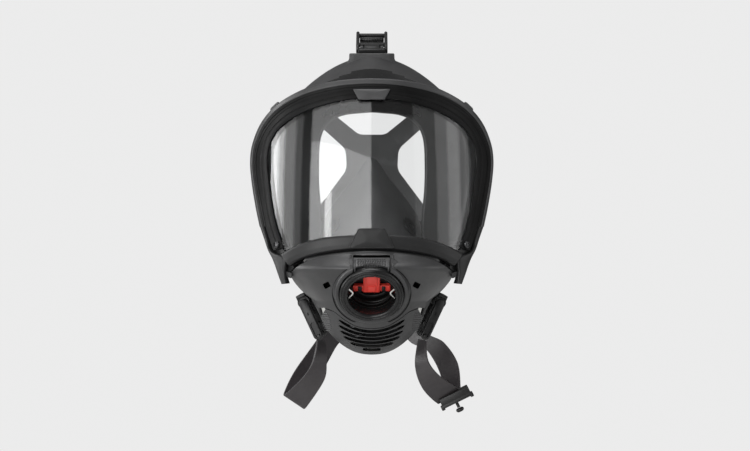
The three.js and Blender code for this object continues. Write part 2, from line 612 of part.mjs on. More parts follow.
add('harness_plate', outward(mergeVertices(headPlate, 1e-3)), 'rubber');

// A flat strap ruled between its two edges, which are lists of points in the same order.
function strap(edgeA, edgeB, steps) {
  const [a, b] = [smooth(edgeA), smooth(edgeB)];
  const point = (u, v) => a.getPoint(u).lerp(b.getPoint(u), v).toArray();
  return sheet(point, steps, 1, STRAP_THICKNESS, false, STRAP_THICKNESS / 2);
}

const FOREHEAD_RUN = [[27, 130.8], [36, 127], [58, 117], [78, 107.5], [92, 100.6], [99, 95.6], [100.8, 89]];
const foreheadEdge = (x) => FOREHEAD_RUN.map(([y, z]) => [x, y, z]);
add('forehead_strap', strap(foreheadEdge(-9), foreheadEdge(9), 12), 'strap');
for (const [name, side] of SIDES) {
  const run = [[80, 67, 44], [76, 74, 50], [69, 78.5, 61], [59.5, 78.8, 78]];
  const lean = [[0, 0, 1], [0, 0, 1], [-0.1, 0, 0.95], [-0.33, 0, 0.77]];
  const edge = (sign) => run.map(([x, y, z], i) => {
    const [lx, ly, lz] = lean[i].map((c) => c * 9 * sign);
    return [side * (x + lx), y + ly, z + lz];
  });
  add(`temple_strap_${name}`, strap(edge(1), edge(-1), 10), 'strap');
}

// Neck straps hang in a loop: from the buckle down the front, round the fold, up behind the chin.
const NECK_LEFT = {
  outer: [[-44.6, -12, -114.6], [-45.6, -14, -121], [-49, -14, -133], [-57, -10, -145], [-70.4, -2, -158],
    [-72, 4, -157], [-64, 18, -141], [-46, 42, -116], [-36, 62, -98], [-42, 83, -56], [-46.5, 86.4, -8]],
  inner: [[-39, 6, -114.2], [-38, -2, -121], [-37.2, -6, -133], [-39, -8, -147], [-53, -4, -168.6],
    [-54.5, 3, -168], [-46, 20, -152], [-32, 46, -126], [-20, 66, -106], [-24, 88, -62], [-32, 92.8, -12]],
};
const NECK_RIGHT = {
  outer: [[44.6, -12, -114.6], [44.2, -14, -122], [46, -14, -131], [51, -12, -138.6], [59, -8, -146],
    [71, -2, -154], [73, 4, -152], [71, 14, -134], [60, 24, -118], [42, 44, -105], [42, 83, -58],
    [46.5, 86.4, -8]],
  inner: [[39, 6, -114.2], [37, -1, -123], [35.6, -6, -134], [37.6, -8, -145.4], [43, -7, -156],
    [52.4, -4, -165.4], [55, 3, -164.6], [58, 14, -148], [47, 30, -126], [29, 52, -114], [24, 88, -64],
    [32, 92.8, -12]],
};
add('neck_strap_left', strap(NECK_LEFT.outer, NECK_LEFT.inner, 30), 'strap');
add('neck_strap_right', strap(NECK_RIGHT.outer, NECK_RIGHT.inner, 30), 'strap');

// Strap clip at the fold of the right neck strap, with its little stem and knob.
const clip = placedGroup([69.8, 0.6, -163.8], [0.44, 0, -0.9], [0.9, 0, 0.44]);
const CLIP_HALF = 13;
const clipJaws = [[-7.4, -5.4], [5.4, 7.4]].map(([low, high]) => box([-CLIP_HALF, -7, low], [CLIP_HALF, -1, high]));
const clipEnds = [-1, 1].map((side) => box([side * CLIP_HALF - 1.5, -1, -3.4], [side * CLIP_HALF + 1.5, 3.2, 3.4]));
const clipBar = join(box([-CLIP_HALF, -1.4, -7.4], [CLIP_HALF, 1.6, 7.4]), ...clipJaws, ...clipEnds);
const clipKnob = turned([[0, 7], [2.6, 7], [3.4, 8.4], [2.6, 10.2], [0, 10.2]], 20).translate(-1, 0, 0);
add('strap_clip', join(clipBar, rod(1.3, 5.2).translate(-1, 4, 0)), 'black', clip);
add('strap_clip_knob', clipKnob, 'black', clip);

// ---- Five buckles -------------------------------------------------------------------------------
// In a buckle's own frame the hinge pin lies along X at the origin and the buckle runs along -Y.
const LUG_REACH = 7;
function buckle(name, pin, away, pinAxis, earRadius = 3.4, lugHalf = 3) {
  const group = placedGroup(pin, vec(away).negate().toArray(), pinAxis);
  const bore = rod(PIN_RADIUS + GAP, 40, 'x', 16);
  const ears = [-8.4, 8.4].flatMap((x) => [rod(earRadius, 2.6, 'x', 16).translate(x, 0, 0),
    box([x - 1.3, 0, 0.8 - earRadius], [x + 1.3, LUG_REACH, earRadius - 0.8])]);
  const lug = join(box([-11, LUG_REACH - 3, -lugHalf], [11, LUG_REACH, lugHalf]), ...ears);
  add(`${name}_lug`, cut(lug, bore), 'black', group);
  add(`${name}_pin`, rod(PIN_RADIUS, 21, 'x', 16), 'steel', group);
  const tongue = [rod(3, 13.2, 'x', 16), box([-6.4, -9, -1.5], [6.4, -1, 1.5])];
  const outer = box([-BUCKLE_WIDTH / 2, -BUCKLE_LENGTH, -1.6], [BUCKLE_WIDTH / 2, -8, 1.6]);
  const window = box([-10.4, -28.6, -5], [10.4, -12, 5]);
  const cheeks = [-11.7, 11.7].map((x) => box([x - 1.3, -BUCKLE_LENGTH - 1, -CHEEK], [x + 1.3, 2.6, CHEEK]));
  add(`${name}_frame`, cut(join(cut(outer, window), ...cheeks, ...tongue), bore), 'black', group);
  add(`${name}_roller`, rod(2.3, 20, 'x', 12).translate(0, -21, 0), 'ring', group);
}

const NECK_EAR = 5;
const NECK_LUG_HALF = 4;
buckle('forehead_buckle', [0, 2.4, 124.6], [0, 0.88, 0.47], [1, 0, 0]);
buckle('temple_buckle_left', [-87, 34, 43], [0.2, 0.98, 0], [0, 0, 1]);
buckle('temple_buckle_right', [87, 34, 43], [-0.2, 0.98, 0], [0, 0, 1]);
buckle('neck_buckle_left', [-54.5, -4, -82.5], [0.42, 0, -0.91], [0.12, 0.99, 0.05], NECK_EAR,
  NECK_LUG_HALF);
buckle('neck_buckle_right', [54.5, -4, -82.5], [-0.42, 0, -0.91], [-0.12, 0.99, 0.05], NECK_EAR,
  NECK_LUG_HALF);

export default respirator;
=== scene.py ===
import math

import bmesh
import bpy
import numpy as np
from mathutils import Matrix, Vector


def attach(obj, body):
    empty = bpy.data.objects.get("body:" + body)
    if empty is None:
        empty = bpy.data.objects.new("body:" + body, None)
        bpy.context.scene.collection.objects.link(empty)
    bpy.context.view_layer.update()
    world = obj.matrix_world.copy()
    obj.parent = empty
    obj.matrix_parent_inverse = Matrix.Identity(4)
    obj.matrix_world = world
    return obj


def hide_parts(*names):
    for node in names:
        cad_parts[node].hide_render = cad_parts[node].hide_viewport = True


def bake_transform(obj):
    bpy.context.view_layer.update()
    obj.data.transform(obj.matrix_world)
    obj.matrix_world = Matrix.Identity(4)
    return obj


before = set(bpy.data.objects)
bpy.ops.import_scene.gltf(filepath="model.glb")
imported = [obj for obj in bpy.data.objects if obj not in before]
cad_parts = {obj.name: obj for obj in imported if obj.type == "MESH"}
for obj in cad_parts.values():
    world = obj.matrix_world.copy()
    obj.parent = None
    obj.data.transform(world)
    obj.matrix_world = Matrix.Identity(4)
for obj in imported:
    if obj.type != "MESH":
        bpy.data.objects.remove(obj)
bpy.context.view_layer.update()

MM = 0.001

# ---- Driving dimensions -------------------------------------------------------------------------
VISOR_THICKNESS = 2.2
RUBBER = 3.0
COVER_THICKNESS = 2.2
PORT_CENTRE = (0, -91.5, -75.6)
PORT_TILT = math.radians(35)
COVER_SLOPE = 0.7
BORE_RADIUS = 18.4
RING_RADIUS = 25
TUBE_RADIUS = 20.8
TUBE_END = -28
PLATE_SETBACK = 10
STRAP_THICKNESS = 2.0
BUCKLE_WIDTH = 26
BUCKLE_LENGTH = 32
PIN_RADIUS = 1.5
CHEEK = 4
SIDES = (("left", -1), ("right", 1))

# Stations down the upper frame: a point on its outer edge, on its inner edge, and on the gasket's.
RAIL = [((0, 95), (0, 85.8), (0, 82)), ((21, 94), (20, 84.9), (19, 81)), ((41, 90.8), (39, 81.6), (37, 77.4)),
        ((57.5, 85.4), (54.5, 77.2), (51.5, 72.6)), ((74.7, 75.6), (69.5, 69.5), (64.5, 65.6)),
        ((87, 62.4), (81, 59), (74.8, 56.4)), ((94.3, 46.1), (88.8, 45.3), (81, 45.4)),
        ((96.3, 31.8), (91.6, 31.8), (83, 33)), ((94.8, 15), (90, 15), (81.5, 15.5)),
        ((91, -6), (85.8, -6), (78.2, -7)), ((87.4, -21.5), (82.4, -21.5), (74.6, -21.5))]
RAIL_END = [((79.3, -31), (71.6, -30)), ((76, -40), (69.2, -37.6))]
LOWER_BAR = [((0, -27.6), (0, -39)), ((16, -28), (16, -39.6)), ((33.6, -29.3), (32, -41.4)),
             ((47, -32), (46, -44.4)), ((60.8, -37.2), (56.5, -48.2)), ((70, -42.4), (63, -52))]
CORNER_ARM = [((86.8, -21.3), (83.8, -21.3)), ((83.2, -31), (80.7, -31)), ((80, -40), (77.4, -40.8)),
              ((76.4, -49), (66.5, -46)), ((72.8, -58), (66.6, -57.4)), ((69.4, -66.4), (65.4, -66))]
COVER_SIDE = [(0, -40.2), (20, -41.6), (40, -44.8), (52, -49), (60.6, -54.6), (63.2, -60.2), (60.4, -66.6),
              (54, -73.2), (44.8, -80)]
COVER_BOTTOM = [(42.4, -87), (40.4, -93.8), (35.4, -103.6), (28.5, -111.6), (20, -118.4), (11, -122.4),
                (0, -123.6)]
SEAM = [(42.2, -85.4), (36.5, -85.4), (29, -88.2), (22, -93.6), (12, -99.2), (0, -101)]
PLATE_EDGE = [(0, -40), (16, -40.6), (32, -42.4), (46, -45.6), (55.4, -51.6), (55.6, -61), (50.4, -68.4),
              (41.4, -78.6), (37.6, -87), (35.6, -93.8), (31.2, -101.6), (25, -108), (17.6, -113.4),
              (9.6, -117), (0, -118)]
FACE_OPENING = [(0, 72.5), (24, 70.5), (38, 63), (44, 50), (45, 30), (44.4, 8), (42, -18), (43, -45),
                (40, -66), (24, -82), (0, -88)]
REAR_RIM = [(0, 117), (22, 111), (44, 98), (64, 79), (79, 55), (84, 26), (80, -6), (70, -38), (55, -66),
            (33, -92), (0, -106)]


# ---- Curves and surfaces ------------------------------------------------------------------------
def mix(a, b, t):
    return a + (b - a) * t


def smoothstep(t):
    t = np.clip(t, 0, 1)
    return t * t * (3 - 2 * t)


class Curve:
    """A Catmull-Rom curve through points, called with places from 0 to 1 along it."""

    def __init__(self, points, closed=False):
        p = np.array(points, float)
        self.closed = closed
        self.spans = len(p) if closed else len(p) - 1
        ends = (p[-1], p[0], p[1]) if closed else (2 * p[0] - p[1], 2 * p[-1] - p[-2])
        self.points = np.vstack([ends[0], p, *ends[1:]])

    def __call__(self, places):
        x = np.asarray(places, float) * self.spans
        if self.closed:
            x = x % self.spans
        i = np.clip(np.floor(x), 0, self.spans - 1).astype(int)
        w = (x - i)[..., None]
        before, start, end, after = (self.points[i + k] for k in range(4))
        out, into = (end - before) / 2, (after - start) / 2
        bend = (3 * (end - start) - 2 * out - into) * w ** 2 + (2 * (start - end) + out + into) * w ** 3
        return start + out * w + bend


def mirrored_loop(half):
    left = [(-p[0], *p[1:]) for p in half[1:-1]][::-1]
    return Curve(list(half) + left, closed=True)


def mirrored_curve(half):
    left = [(-p[0], *p[1:]) for p in half[1:]][::-1]
    return Curve(left + list(half))


def visor_depth(x, z):
    """Depth of the visor's outer face: a tall bubble that wraps back at both sides."""
    across = np.minimum(np.clip(np.abs(x) / 102, 0, 1) ** 2.2, 0.98)
    return -83 + 0.1 * z + 0.0011 * z * z + 90 * (1 - np.sqrt(1 - across))


def cover_half_width(z):
    lower = 40 * np.sqrt(1 - np.clip((-86 - z) / 41, 0, 1) ** 2) + 3
    return np.where(z > -86, mix(43, 64, np.clip((z + 80) / 24, 0, 1)), lower)


def cover_depth(x, z):
    """Depth of the chin covers' outer face: it swells over the port and falls back below it."""
    above = mix(-88.5, -101, smoothstep((-40 - z) / 14))
    below = -101 + COVER_SLOPE * (-54 - z) + 11 * np.clip((-98 - z) / 26, 0, 1) ** 2
    across = np.minimum(np.clip(np.abs(x) / (cover_half_width(z) + 9), 0, 1) ** 2, 0.9)
    return np.where(z > -54, above, below) + 58 * (1 - np.sqrt(1 - across))


def rim_depth(x, z):
    return 26 * (np.abs(x) / 84) ** 1.5 - 2 - 16 * np.clip(-z / 106, 0, 1)


def on(depth, plane, back=0.0):
    """Points (x, z) laid on a depth surface."""
    x, z = plane[..., 0], plane[..., 1]
    return np.stack([x, depth(x, z) + back, z], -1)


def facing(depth, plane):
    """Outward unit normals of a depth surface."""
    x, z, step = plane[..., 0], plane[..., 1], 0.4
    across = (depth(x + step, z) - depth(x - step, z)) / (2 * step)
    up = (depth(x, z + step) - depth(x, z - step)) / (2 * step)
    n = np.stack([across, -np.ones_like(across), up], -1)
    return n / np.linalg.norm(n, axis=-1, keepdims=True)


def unit(v):
    v = np.asarray(v, float)
    return v / np.maximum(np.linalg.norm(v, axis=-1, keepdims=True), 1e-9)


def inset(p, factor):
    """A place (x, z) drawn in toward the middle of the chin."""
    return (p[0] * factor, mix(-80, p[1], factor))


def with_edges(count, margin):
    """Places from 0 to 1 with an extra one close to each end, which keeps edges crisp when rounded."""
    return np.concatenate([[0, margin], np.linspace(0, 1, count + 1)[1:-1], [1 - margin, 1]])


# ---- Solids as (vertices, faces) ----------------------------------------------------------------
def skin(sections, ring=False, caps="strip"):
    """Faces between sections of points in the same order; ends are closed by strips or one face."""
    rows, size = sections.shape[:2]
    faces = []
    for i in range(rows if ring else rows - 1):
        here, there = i * size, ((i + 1) % rows) * size
        faces += [(here + j, here + (j + 1) % size, there + (j + 1) % size, there + j) for j in range(size)]
    last = (rows - 1) * size
    if not ring and caps == "strip":
        for j in range(size // 2 - 1):
            corner = (j, j + 1, size - 2 - j, size - 1 - j)
            faces += [corner[::-1], tuple(last + c for c in corner)]
    elif not ring:
        faces += [tuple(range(size))[::-1], tuple(last + j for j in range(size))]
    return sections.reshape(-1, 3), faces


def sheet(point, us, vs, thickness, ring=False, lift=0.0, normal=None):
    """A sheet over a surface point(u, v); lift is how far its outer face stands off the surface."""
    u, v = np.meshgrid(us, vs, indexing="ij")
    at = point(u, v)
    if normal is None:
        d = 0.003
        u0, u1 = (u - d, u + d) if ring else (np.clip(u - d, 0, 1), np.clip(u + d, 0, 1))
        v0, v1 = np.clip(v - d, 0, 1), np.clip(v + d, 0, 1)
        away = unit(np.cross(point(u1, v) - point(u0, v), point(u, v1) - point(u, v0)))
    else:
        away = normal(at)
    outer, inner = at + away * lift, at + away * (lift - thickness)
    return skin(np.concatenate([outer, inner[:, ::-1]], 1), ring)


def rounded(points, radius, steps=3):
    """A closed outline with each corner turned into a small curve."""
    p = np.array(points, float)
    out = []
    for i, corner in enumerate(p):
        before, after = p[i - 1] - corner, p[(i + 1) % len(p)] - corner
        reach = min(radius, 0.45 * np.linalg.norm(before), 0.45 * np.linalg.norm(after))
        start, end = corner + unit(before) * reach, corner + unit(after) * reach
        for t in np.linspace(0, 1, steps + 1):
            out.append((1 - t) ** 2 * start + 2 * t * (1 - t) * corner + t * t * end)
    return np.array(out)


def turned(profile, segments=96, radius=0.3):
    """A turned solid; profile points are (radius, distance along its own +Y)."""
    p = np.array(profile, float)
    hollow = p[:, 0].min() > 0
    if hollow:
        p = rounded(p, radius)
    angle = np.linspace(0, 2 * math.pi, segments, endpoint=False)[:, None]
    r, y = p[None, :, 0], p[None, :, 1]
    rings = np.stack([r * np.cos(angle), np.broadcast_to(y, (segments, len(p))), r * np.sin(angle)], -1)
    vertices, faces = skin(rings, ring=True)
    if not hollow:
        faces = [f for f in faces if not {f[0] % len(p), f[1] % len(p)} == {0, len(p) - 1}]
    return vertices, faces


def block(low, high, radius=0.5, segments=2):
    """A box with rounded edges."""
    mesh = bmesh.new()
    size = np.array(high, float) - low
    middle = (np.array(high, float) + low) / 2
    bmesh.ops.create_cube(mesh, size=1, matrix=Matrix.Translation(middle) @ Matrix.Diagonal((*size, 1)))
    bmesh.ops.bevel(mesh, geom=mesh.edges[:], offset=min(radius, size.min() * 0.45), segments=segments,
                    profile=0.5, affect="EDGES")
    vertices = np.array([v.co[:] for v in mesh.verts])
    faces = [tuple(v.index for v in f.verts) for f in mesh.faces]
    mesh.free()
    return vertices, faces


def swept(path, radius, sides=12, flat=1.0):
    """A round or flattened bar along a list of points, with domed ends."""
    p = np.array(path, float)
    along = unit(np.gradient(p, axis=0))
    side = unit(np.cross(along[0], (0.3, 0.2, 0.9)))
    frames = []
    for direction in along:
        side = unit(side - direction * side.dot(direction))
        frames.append((side, np.cross(direction, side)))
    angle = np.linspace(0, 2 * math.pi, sides, endpoint=False)
    rings = [p[0][None] + 0 * angle[:, None]]
    for i, (a, b) in enumerate(frames):
        size = radius * (0.75 if i in (0, len(p) - 1) else 1)
        rings.append(p[i] + size * (np.cos(angle)[:, None] * a + flat * np.sin(angle)[:, None] * b))
    rings.append(p[-1][None] + 0 * angle[:, None])
    return skin(np.array(rings), caps="none")


def rod(radius, low, high, axis=0, bevel=0.3, segments=48):
    """A round bar along X, Y or Z with softened ends."""
    profile = [(0, low), (radius - bevel, low), (radius, low + bevel), (radius, high - bevel),
               (radius - bevel, high), (0, high)]
    vertices, faces = turned(profile, segments)
    order = {0: (1, 0, 2), 1: (0, 1, 2), 2: (0, 2, 1)}[axis]
    return vertices[:, order], [f[::-1] for f in faces] if axis != 1 else faces


def moved(solid, matrix):
    vertices, faces = solid
    m = np.array(matrix)
    return vertices @ m[:3, :3].T + m[:3, 3], faces


def shifted(solid, *offset):
    return solid[0] + offset, solid[1]


def basis(origin, y_axis, x_axis=(1, 0, 0)):
    """A frame whose own +Y points along one direction and whose +X lies along another."""
    y = unit(y_axis)
    x = unit(np.array(x_axis, float) - y * np.dot(x_axis, y))
    m = np.eye(4)
    m[:3, :3] = np.stack([x, y, np.cross(x, y)], 1)
    m[:3, 3] = origin
    return m


PORT_AXIS = (0, -math.cos(PORT_TILT), -math.sin(PORT_TILT))
PORT = basis(PORT_CENTRE, PORT_AXIS)


# ---- Objects ------------------------------------------------------------------------------------
def new_object(name, data):
    obj = bpy.data.objects.new(name, data)
    bpy.context.scene.collection.objects.link(obj)
    return obj


def mesh_object(name, solids):
    """One Blender object, in metres, from one or more solids."""
    vertices, faces, start = [], [], 0
    finishes = []
    for v, f, *finish in solids:
        vertices.append(v)
        faces += [tuple(start + i for i in face) for face in f]
        finishes += (finish or [0]) * len(f)
        start += len(v)
    mesh = bpy.data.meshes.new(name)
    mesh.from_pydata((np.vstack(vertices) * MM).tolist(), [], faces)
    mesh.polygons.foreach_set("material_index", finishes)
    work = bmesh.new()
    work.from_mesh(mesh)
    bmesh.ops.remove_doubles(work, verts=work.verts[:], dist=2e-6)
    bmesh.ops.dissolve_degenerate(work, edges=work.edges[:], dist=1e-6)
    bmesh.ops.recalc_face_normals(work, faces=work.faces[:])
    work.to_mesh(mesh)
    work.free()
    return new_object(name, mesh)


def applied(obj):
    """The object with its modifiers turned into mesh."""
    result = bpy.data.meshes.new_from_object(obj.evaluated_get(bpy.context.evaluated_depsgraph_get()))
    obj.modifiers.clear()
    obj.data = result
    return obj


def bevelled(obj, width, sharp):
    """Softens the edges sharper than an angle."""
    edge = obj.modifiers.new("edges", "BEVEL")
    edge.width, edge.segments = width * MM, 2
    edge.limit_method, edge.angle_limit = "ANGLE", math.radians(sharp)


def cut(obj, solids):
    """Takes solids out of the object."""
    tool = mesh_object("cutter", solids)
    modifier = obj.modifiers.new("cut", "BOOLEAN")
    modifier.operation, modifier.object, modifier.solver = "DIFFERENCE", tool, "EXACT"
    modifier.use_self = True
    applied(obj)
    bpy.data.objects.remove(tool)
    return obj


def merge(obj, other):
    """Adds another object's mesh to the first and removes the other."""
    work = bmesh.new()
    work.from_mesh(obj.data)
    work.from_mesh(other.data)
    work.to_mesh(obj.data)
    work.free()
    bpy.data.objects.remove(other)


def finish_piece(obj, material, slot, body="mask", subdivide=0, weighted=False, sharp=50):
    """Shades a piece, fixes it to its body, and puts it in the place of the node it is named after."""
    finishes = [polygon.material_index for polygon in obj.data.polygons]
    obj.data.materials.clear()
    for name in material.split():
        obj.data.materials.append(MATERIALS[name])
    obj.data.polygons.foreach_set("material_index", finishes)
    for polygon in obj.data.polygons:
        polygon.use_smooth = True
    if subdivide:
        modifier = obj.modifiers.new("smooth", "SUBSURF")
        modifier.levels = modifier.render_levels = subdivide
    else:
        obj.data.set_sharp_from_angle(angle=math.radians(sharp))
    if weighted:
        modifier = obj.modifiers.new("normals", "WEIGHTED_NORMAL")
        modifier.keep_sharp = True
    if body:
        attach(obj, body)
    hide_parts(obj.name.split(".")[0])
    return obj


def piece(name, solids, material, slot, **rest):
    return finish_piece(mesh_object(name, solids), material, slot, **rest)


# ---- Materials ----------------------------------------------------------------------------------
class Nodes:
    """Short calls for building a material's nodes."""

    def __init__(self, name):
        self.material = bpy.data.materials.new(name)
        self.material.use_nodes = True
        self.tree = self.material.node_tree
        self.tree.nodes.clear()
        self.output = self.tree.nodes.new("ShaderNodeOutputMaterial")
        self.place = self.tree.nodes.new("ShaderNodeTexCoord").outputs["Object"]

    def new(self, kind, **inputs):
        node = self.tree.nodes.new(kind)
        for key, value in inputs.items():
            socket = node.inputs[int(key[1:])] if key[0] == "_" else node.inputs[key.replace("_", " ")]
            if isinstance(value, bpy.types.NodeSocket):
                self.tree.links.new(value, socket)
            else:
                socket.default_value = value
        return node

    def noise(self, scale, detail=4.0, place=None, rough=0.55):
        return self.new("ShaderNodeTexNoise", Vector=place or self.place, Scale=scale, Detail=detail,
                        Roughness=rough).outputs["Fac"]

    def spread(self, value, low, high, start=0.3, end=0.7):
        return self.new("ShaderNodeMapRange", Value=value, From_Min=start, From_Max=end, To_Min=low,
                        To_Max=high).outputs["Result"]

    def blend(self, factor, a, b):
        node = self.tree.nodes.new("ShaderNodeMix")
        node.data_type = "RGBA"
        for socket, value in ((node.inputs[0], factor), (node.inputs[6], a), (node.inputs[7], b)):
            if isinstance(value, bpy.types.NodeSocket):
                self.tree.links.new(value, socket)
            else:
                socket.default_value = value
        return node.outputs[2]

    def times(self, a, b):
        node = self.new("ShaderNodeMath", _0=a, _1=b)
        node.operation = "MULTIPLY"
        return node.outputs[0]

    def stretched(self, x, y, z):
        return self.new("ShaderNodeMapping", Vector=self.place, Scale=(x, y, z)).outputs["Vector"]

    def finish(self, shader):
        self.tree.links.new(shader, self.output.inputs["Surface"])
        return self.material


def grey(value):
    return (value, value, value * 1.03, 1)


def moulded(name, colour, roughness, grain=900, bump=0.12, wear=0.35, dust=0.12, specular=0.5, metallic=0.0,
            coat=0.0, pattern=None):
    """Moulded plastic, rubber or metal: fine grain, cloudy colour, rubbed edges and faint dust."""
    n = Nodes(name)
    darker = tuple(c * 0.82 for c in colour[:3]) + (1,)
    lighter = tuple(min(c * 1.22 + 0.004, 1) for c in colour[:3]) + (1,)
    cloudy = n.blend(n.spread(n.noise(38), 0, 1), darker, lighter)
    edge = n.spread(n.tree.nodes.new("ShaderNodeNewGeometry").outputs["Pointiness"], 0, wear, 0.52, 0.62)
    rubbed = n.times(edge, n.spread(n.noise(320), 0.2, 1, 0.4, 0.6))
    worn = n.blend(rubbed, cloudy, tuple(min(c * 2.4 + 0.03, 1) for c in colour[:3]) + (1,))
    specks = n.times(n.spread(n.noise(2600, 2), 0, 1, 0.6, 0.72), dust)
    final = n.blend(specks, worn, tuple(min(c * 1.8 + 0.05, 1) for c in colour[:3]) + (1,))
    rough = n.spread(n.noise(70), max(roughness - 0.06, 0.03), roughness + 0.07)
    place = pattern(n) if pattern else None
    height = n.noise(grain, 3, place)
    relief = n.new("ShaderNodeBump", Strength=bump, Distance=0.0002, Height=height)
    wave = n.new("ShaderNodeBump", Strength=bump * 0.6, Distance=0.0006, Height=n.noise(110, 2),
                 Normal=relief.outputs["Normal"])
    shader = n.new("ShaderNodeBsdfPrincipled", Base_Color=final, Roughness=rough, Metallic=metallic,
                   Normal=wave.outputs["Normal"], Specular_IOR_Level=specular, Coat_Weight=coat,
                   Coat_Roughness=0.12)
    return n.finish(shader.outputs["BSDF"])


def clear_plastic():
    """Hard-coated polycarbonate: see-through, with a mirror-like face and a trace of smearing."""
    n = Nodes("clear_plastic")
    smear = n.spread(n.noise(45, 5), 0.015, 0.045)
    ripple = n.new("ShaderNodeBump", Strength=0.05, Distance=0.0003, Height=n.noise(24, 1))
    shine = n.new("ShaderNodeBsdfGlossy", Color=(1, 1, 1, 1), Roughness=smear,
                  Normal=ripple.outputs["Normal"])
    through = n.new("ShaderNodeBsdfTransparent", Color=(0.985, 0.99, 0.99, 1))
    behind = n.tree.nodes.new("ShaderNodeNewGeometry").outputs["Backfacing"]
    share = n.new("ShaderNodeFresnel", IOR=n.spread(behind, 1.5, 1 / 1.5, 0, 1))
    both = n.new("ShaderNodeMixShader", _0=share.outputs["Fac"], _1=through.outputs[0], _2=shine.outputs[0])
    return n.finish(both.outputs[0])


def floor_material():
    n = Nodes("pale_floor")
    tone = n.blend(n.spread(n.noise(9), 0, 1), (0.78, 0.78, 0.77, 1), (0.84, 0.84, 0.83, 1))
    relief = n.new("ShaderNodeBump", Strength=0.05, Distance=0.0005, Height=n.noise(300))
    shader = n.new("ShaderNodeBsdfPrincipled", Base_Color=tone, Roughness=0.85,
                   Normal=relief.outputs["Normal"])
    return n.finish(shader.outputs["BSDF"])


# Each moulded finish: name, colour, roughness, grain scale, grain depth, edge wear, dust, specular.
MATERIALS = {
    "rubber": moulded("matt_rubber", grey(0.027), 0.5, 1500, 0.14, 0.3, 0.2, 0.42),
    "frame": moulded("frame_plastic", grey(0.030), 0.36, 2200, 0.10, 0.35, 0.12, 0.5),
    "lower_frame": moulded("lower_frame_plastic", grey(0.009), 0.40, 2200, 0.10, 0.3, 0.12, 0.34),
    "cover": moulded("cover_plastic", grey(0.026), 0.40, 1900, 0.16, 0.35, 0.12, 0.5),
    "black": moulded("black_plastic", grey(0.007), 0.38, 1700, 0.05, 0.15, 0.06, 0.4),
    "gasket": moulded("gasket_rubber", grey(0.003), 0.45, 1500, 0.06, 0.1, 0.05, 0.12),
    "ring": moulded("ring_plastic", grey(0.006), 0.22, 1300, 0.04, 0.4, 0.06, 0.32),
    "red": moulded("red_plastic", (0.95, 0.062, 0.045, 1), 0.38, 1500, 0.08, 0.25, 0.06),
    "steel": moulded("spring_steel", (0.62, 0.62, 0.6, 1), 0.27, 900, 0.06, 0.1, 0.05, 0.5, 1.0,
                     pattern=lambda n: n.stretched(1, 1, 8)),
    "bore": moulded("bore_plastic", (0.0035, 0.0028, 0.0024, 1), 0.3, 1300, 0.03, 0.1, 0.03, 0.2),
    "dark_steel": moulded("blackened_steel", (0.05, 0.05, 0.052, 1), 0.3, 900, 0.06, 0.1, 0.05, 0.5, 0.8),
    "silicone": moulded("grey_silicone", grey(0.040), 0.5, 1200, 0.08, 0.15, 0.15, 0.45),
    "strap": moulded("strap_rubber", (0.026, 0.0225, 0.024, 1), 0.42, 1800, 0.12, 0.3, 0.16, 0.45),
    "clear": clear_plastic(),
    "floor": floor_material(),
}


# ---- Frame round the visor ----------------------------------------------------------------------
def flat_curve(pairs, side):
    return mirrored_curve([p[side] for p in pairs])


RAIL_OUTER, RAIL_INNER = flat_curve(RAIL, 0), flat_curve(RAIL, 1)
GASKET_OUTER = mirrored_curve([p[1] for p in RAIL] + [p[0] for p in RAIL_END])
LIP_DROP = (3.0, 2.9, 2.8, 2.4, 1.8, 0.9, 0.3)
GASKET_INNER = mirrored_curve([(p[2][0] * (1 - drop / 90), p[2][1] - drop) for p, drop in
                               zip(RAIL, LIP_DROP + (0,) * 4)] + [p[1] for p in RAIL_END])
BAR_UPPER, BAR_LOWER = flat_curve(LOWER_BAR, 0), flat_curve(LOWER_BAR, 1)


def bar(inner, outer, profile, stations, radius=0.7, width=9.0, ends=(0, 1)):
    """A bar on the visor: s runs from the inner edge to the outer one, h stands out of the surface."""
    t = np.linspace(*ends, stations)
    a, b = inner(t), outer(t)
    across = rounded([(s * width, h) for s, h in profile], radius) / (width, 1)
    normal = facing(visor_depth, (a + b) / 2)
    plane = a[:, None] + (b - a)[:, None] * across[None, :, :1]
    return skin(on(visor_depth, plane) + normal[:, None] * across[None, :, 1:], caps="face")


def upper_frame():
    """A smooth outer band with a stepped bezel inside it, darkened with the gasket finish as painted shade,
    and a tab over the window's middle.
    """
    band = [(0.94, 2.6), (0.86, 3.4), (0.5, 3.6), (0.44, 3.1), (0.44, 1.9), (0.5, 1.9), (0.5, -5.6),
            (1, -5.6), (1, 1.6)]
    bezel = [(0.46, 3.0), (0.24, 2.6), (0.2, 2.1), (0, 2.0), (0, 1.75), (0.46, 1.75)]
    outline = rounded([(-14.8, 86.6), (14.8, 86.6), (10.2, 78.2), (-10.2, 78.2)], 0.8)
    tab = raised_plate(outline, (0, 83), 3.9, 1.2)
    # Finish 1 on the bezel is the near-black gasket rubber: painted shade on the bezel's sloped inner wall.
    solids = [bar(RAIL_INNER, RAIL_OUTER, band, 260, 0.5),
              (*bar(RAIL_INNER, RAIL_OUTER, bezel, 260, 0.3), 1), tab]
    for side in (-1, 1):
        x, z = side * np.linspace(74.2, 80.4, 9), np.linspace(77.4, 72.0, 9)
        nib = on(visor_depth, np.stack([x, z], -1)) - (0, 1.4, 0)
        solids.append(swept(nib, 1.5, 12))
    piece("upper_frame", solids, "frame gasket", "frame", weighted=True)


def raised_plate(outline, middle, height, foot):
    """A low plate with softened edges that stands on the visor's surface."""
    middle = np.array(middle, float)
    rises = ((0.3, height), (0.94, height), (0.98, height - 0.3), (1, height - 0.8), (1, foot))
    sections = [on(visor_depth, middle + (outline - middle) * scale) - (0, lift, 0) for scale, lift in rises]
    return skin(np.array(sections), caps="face")


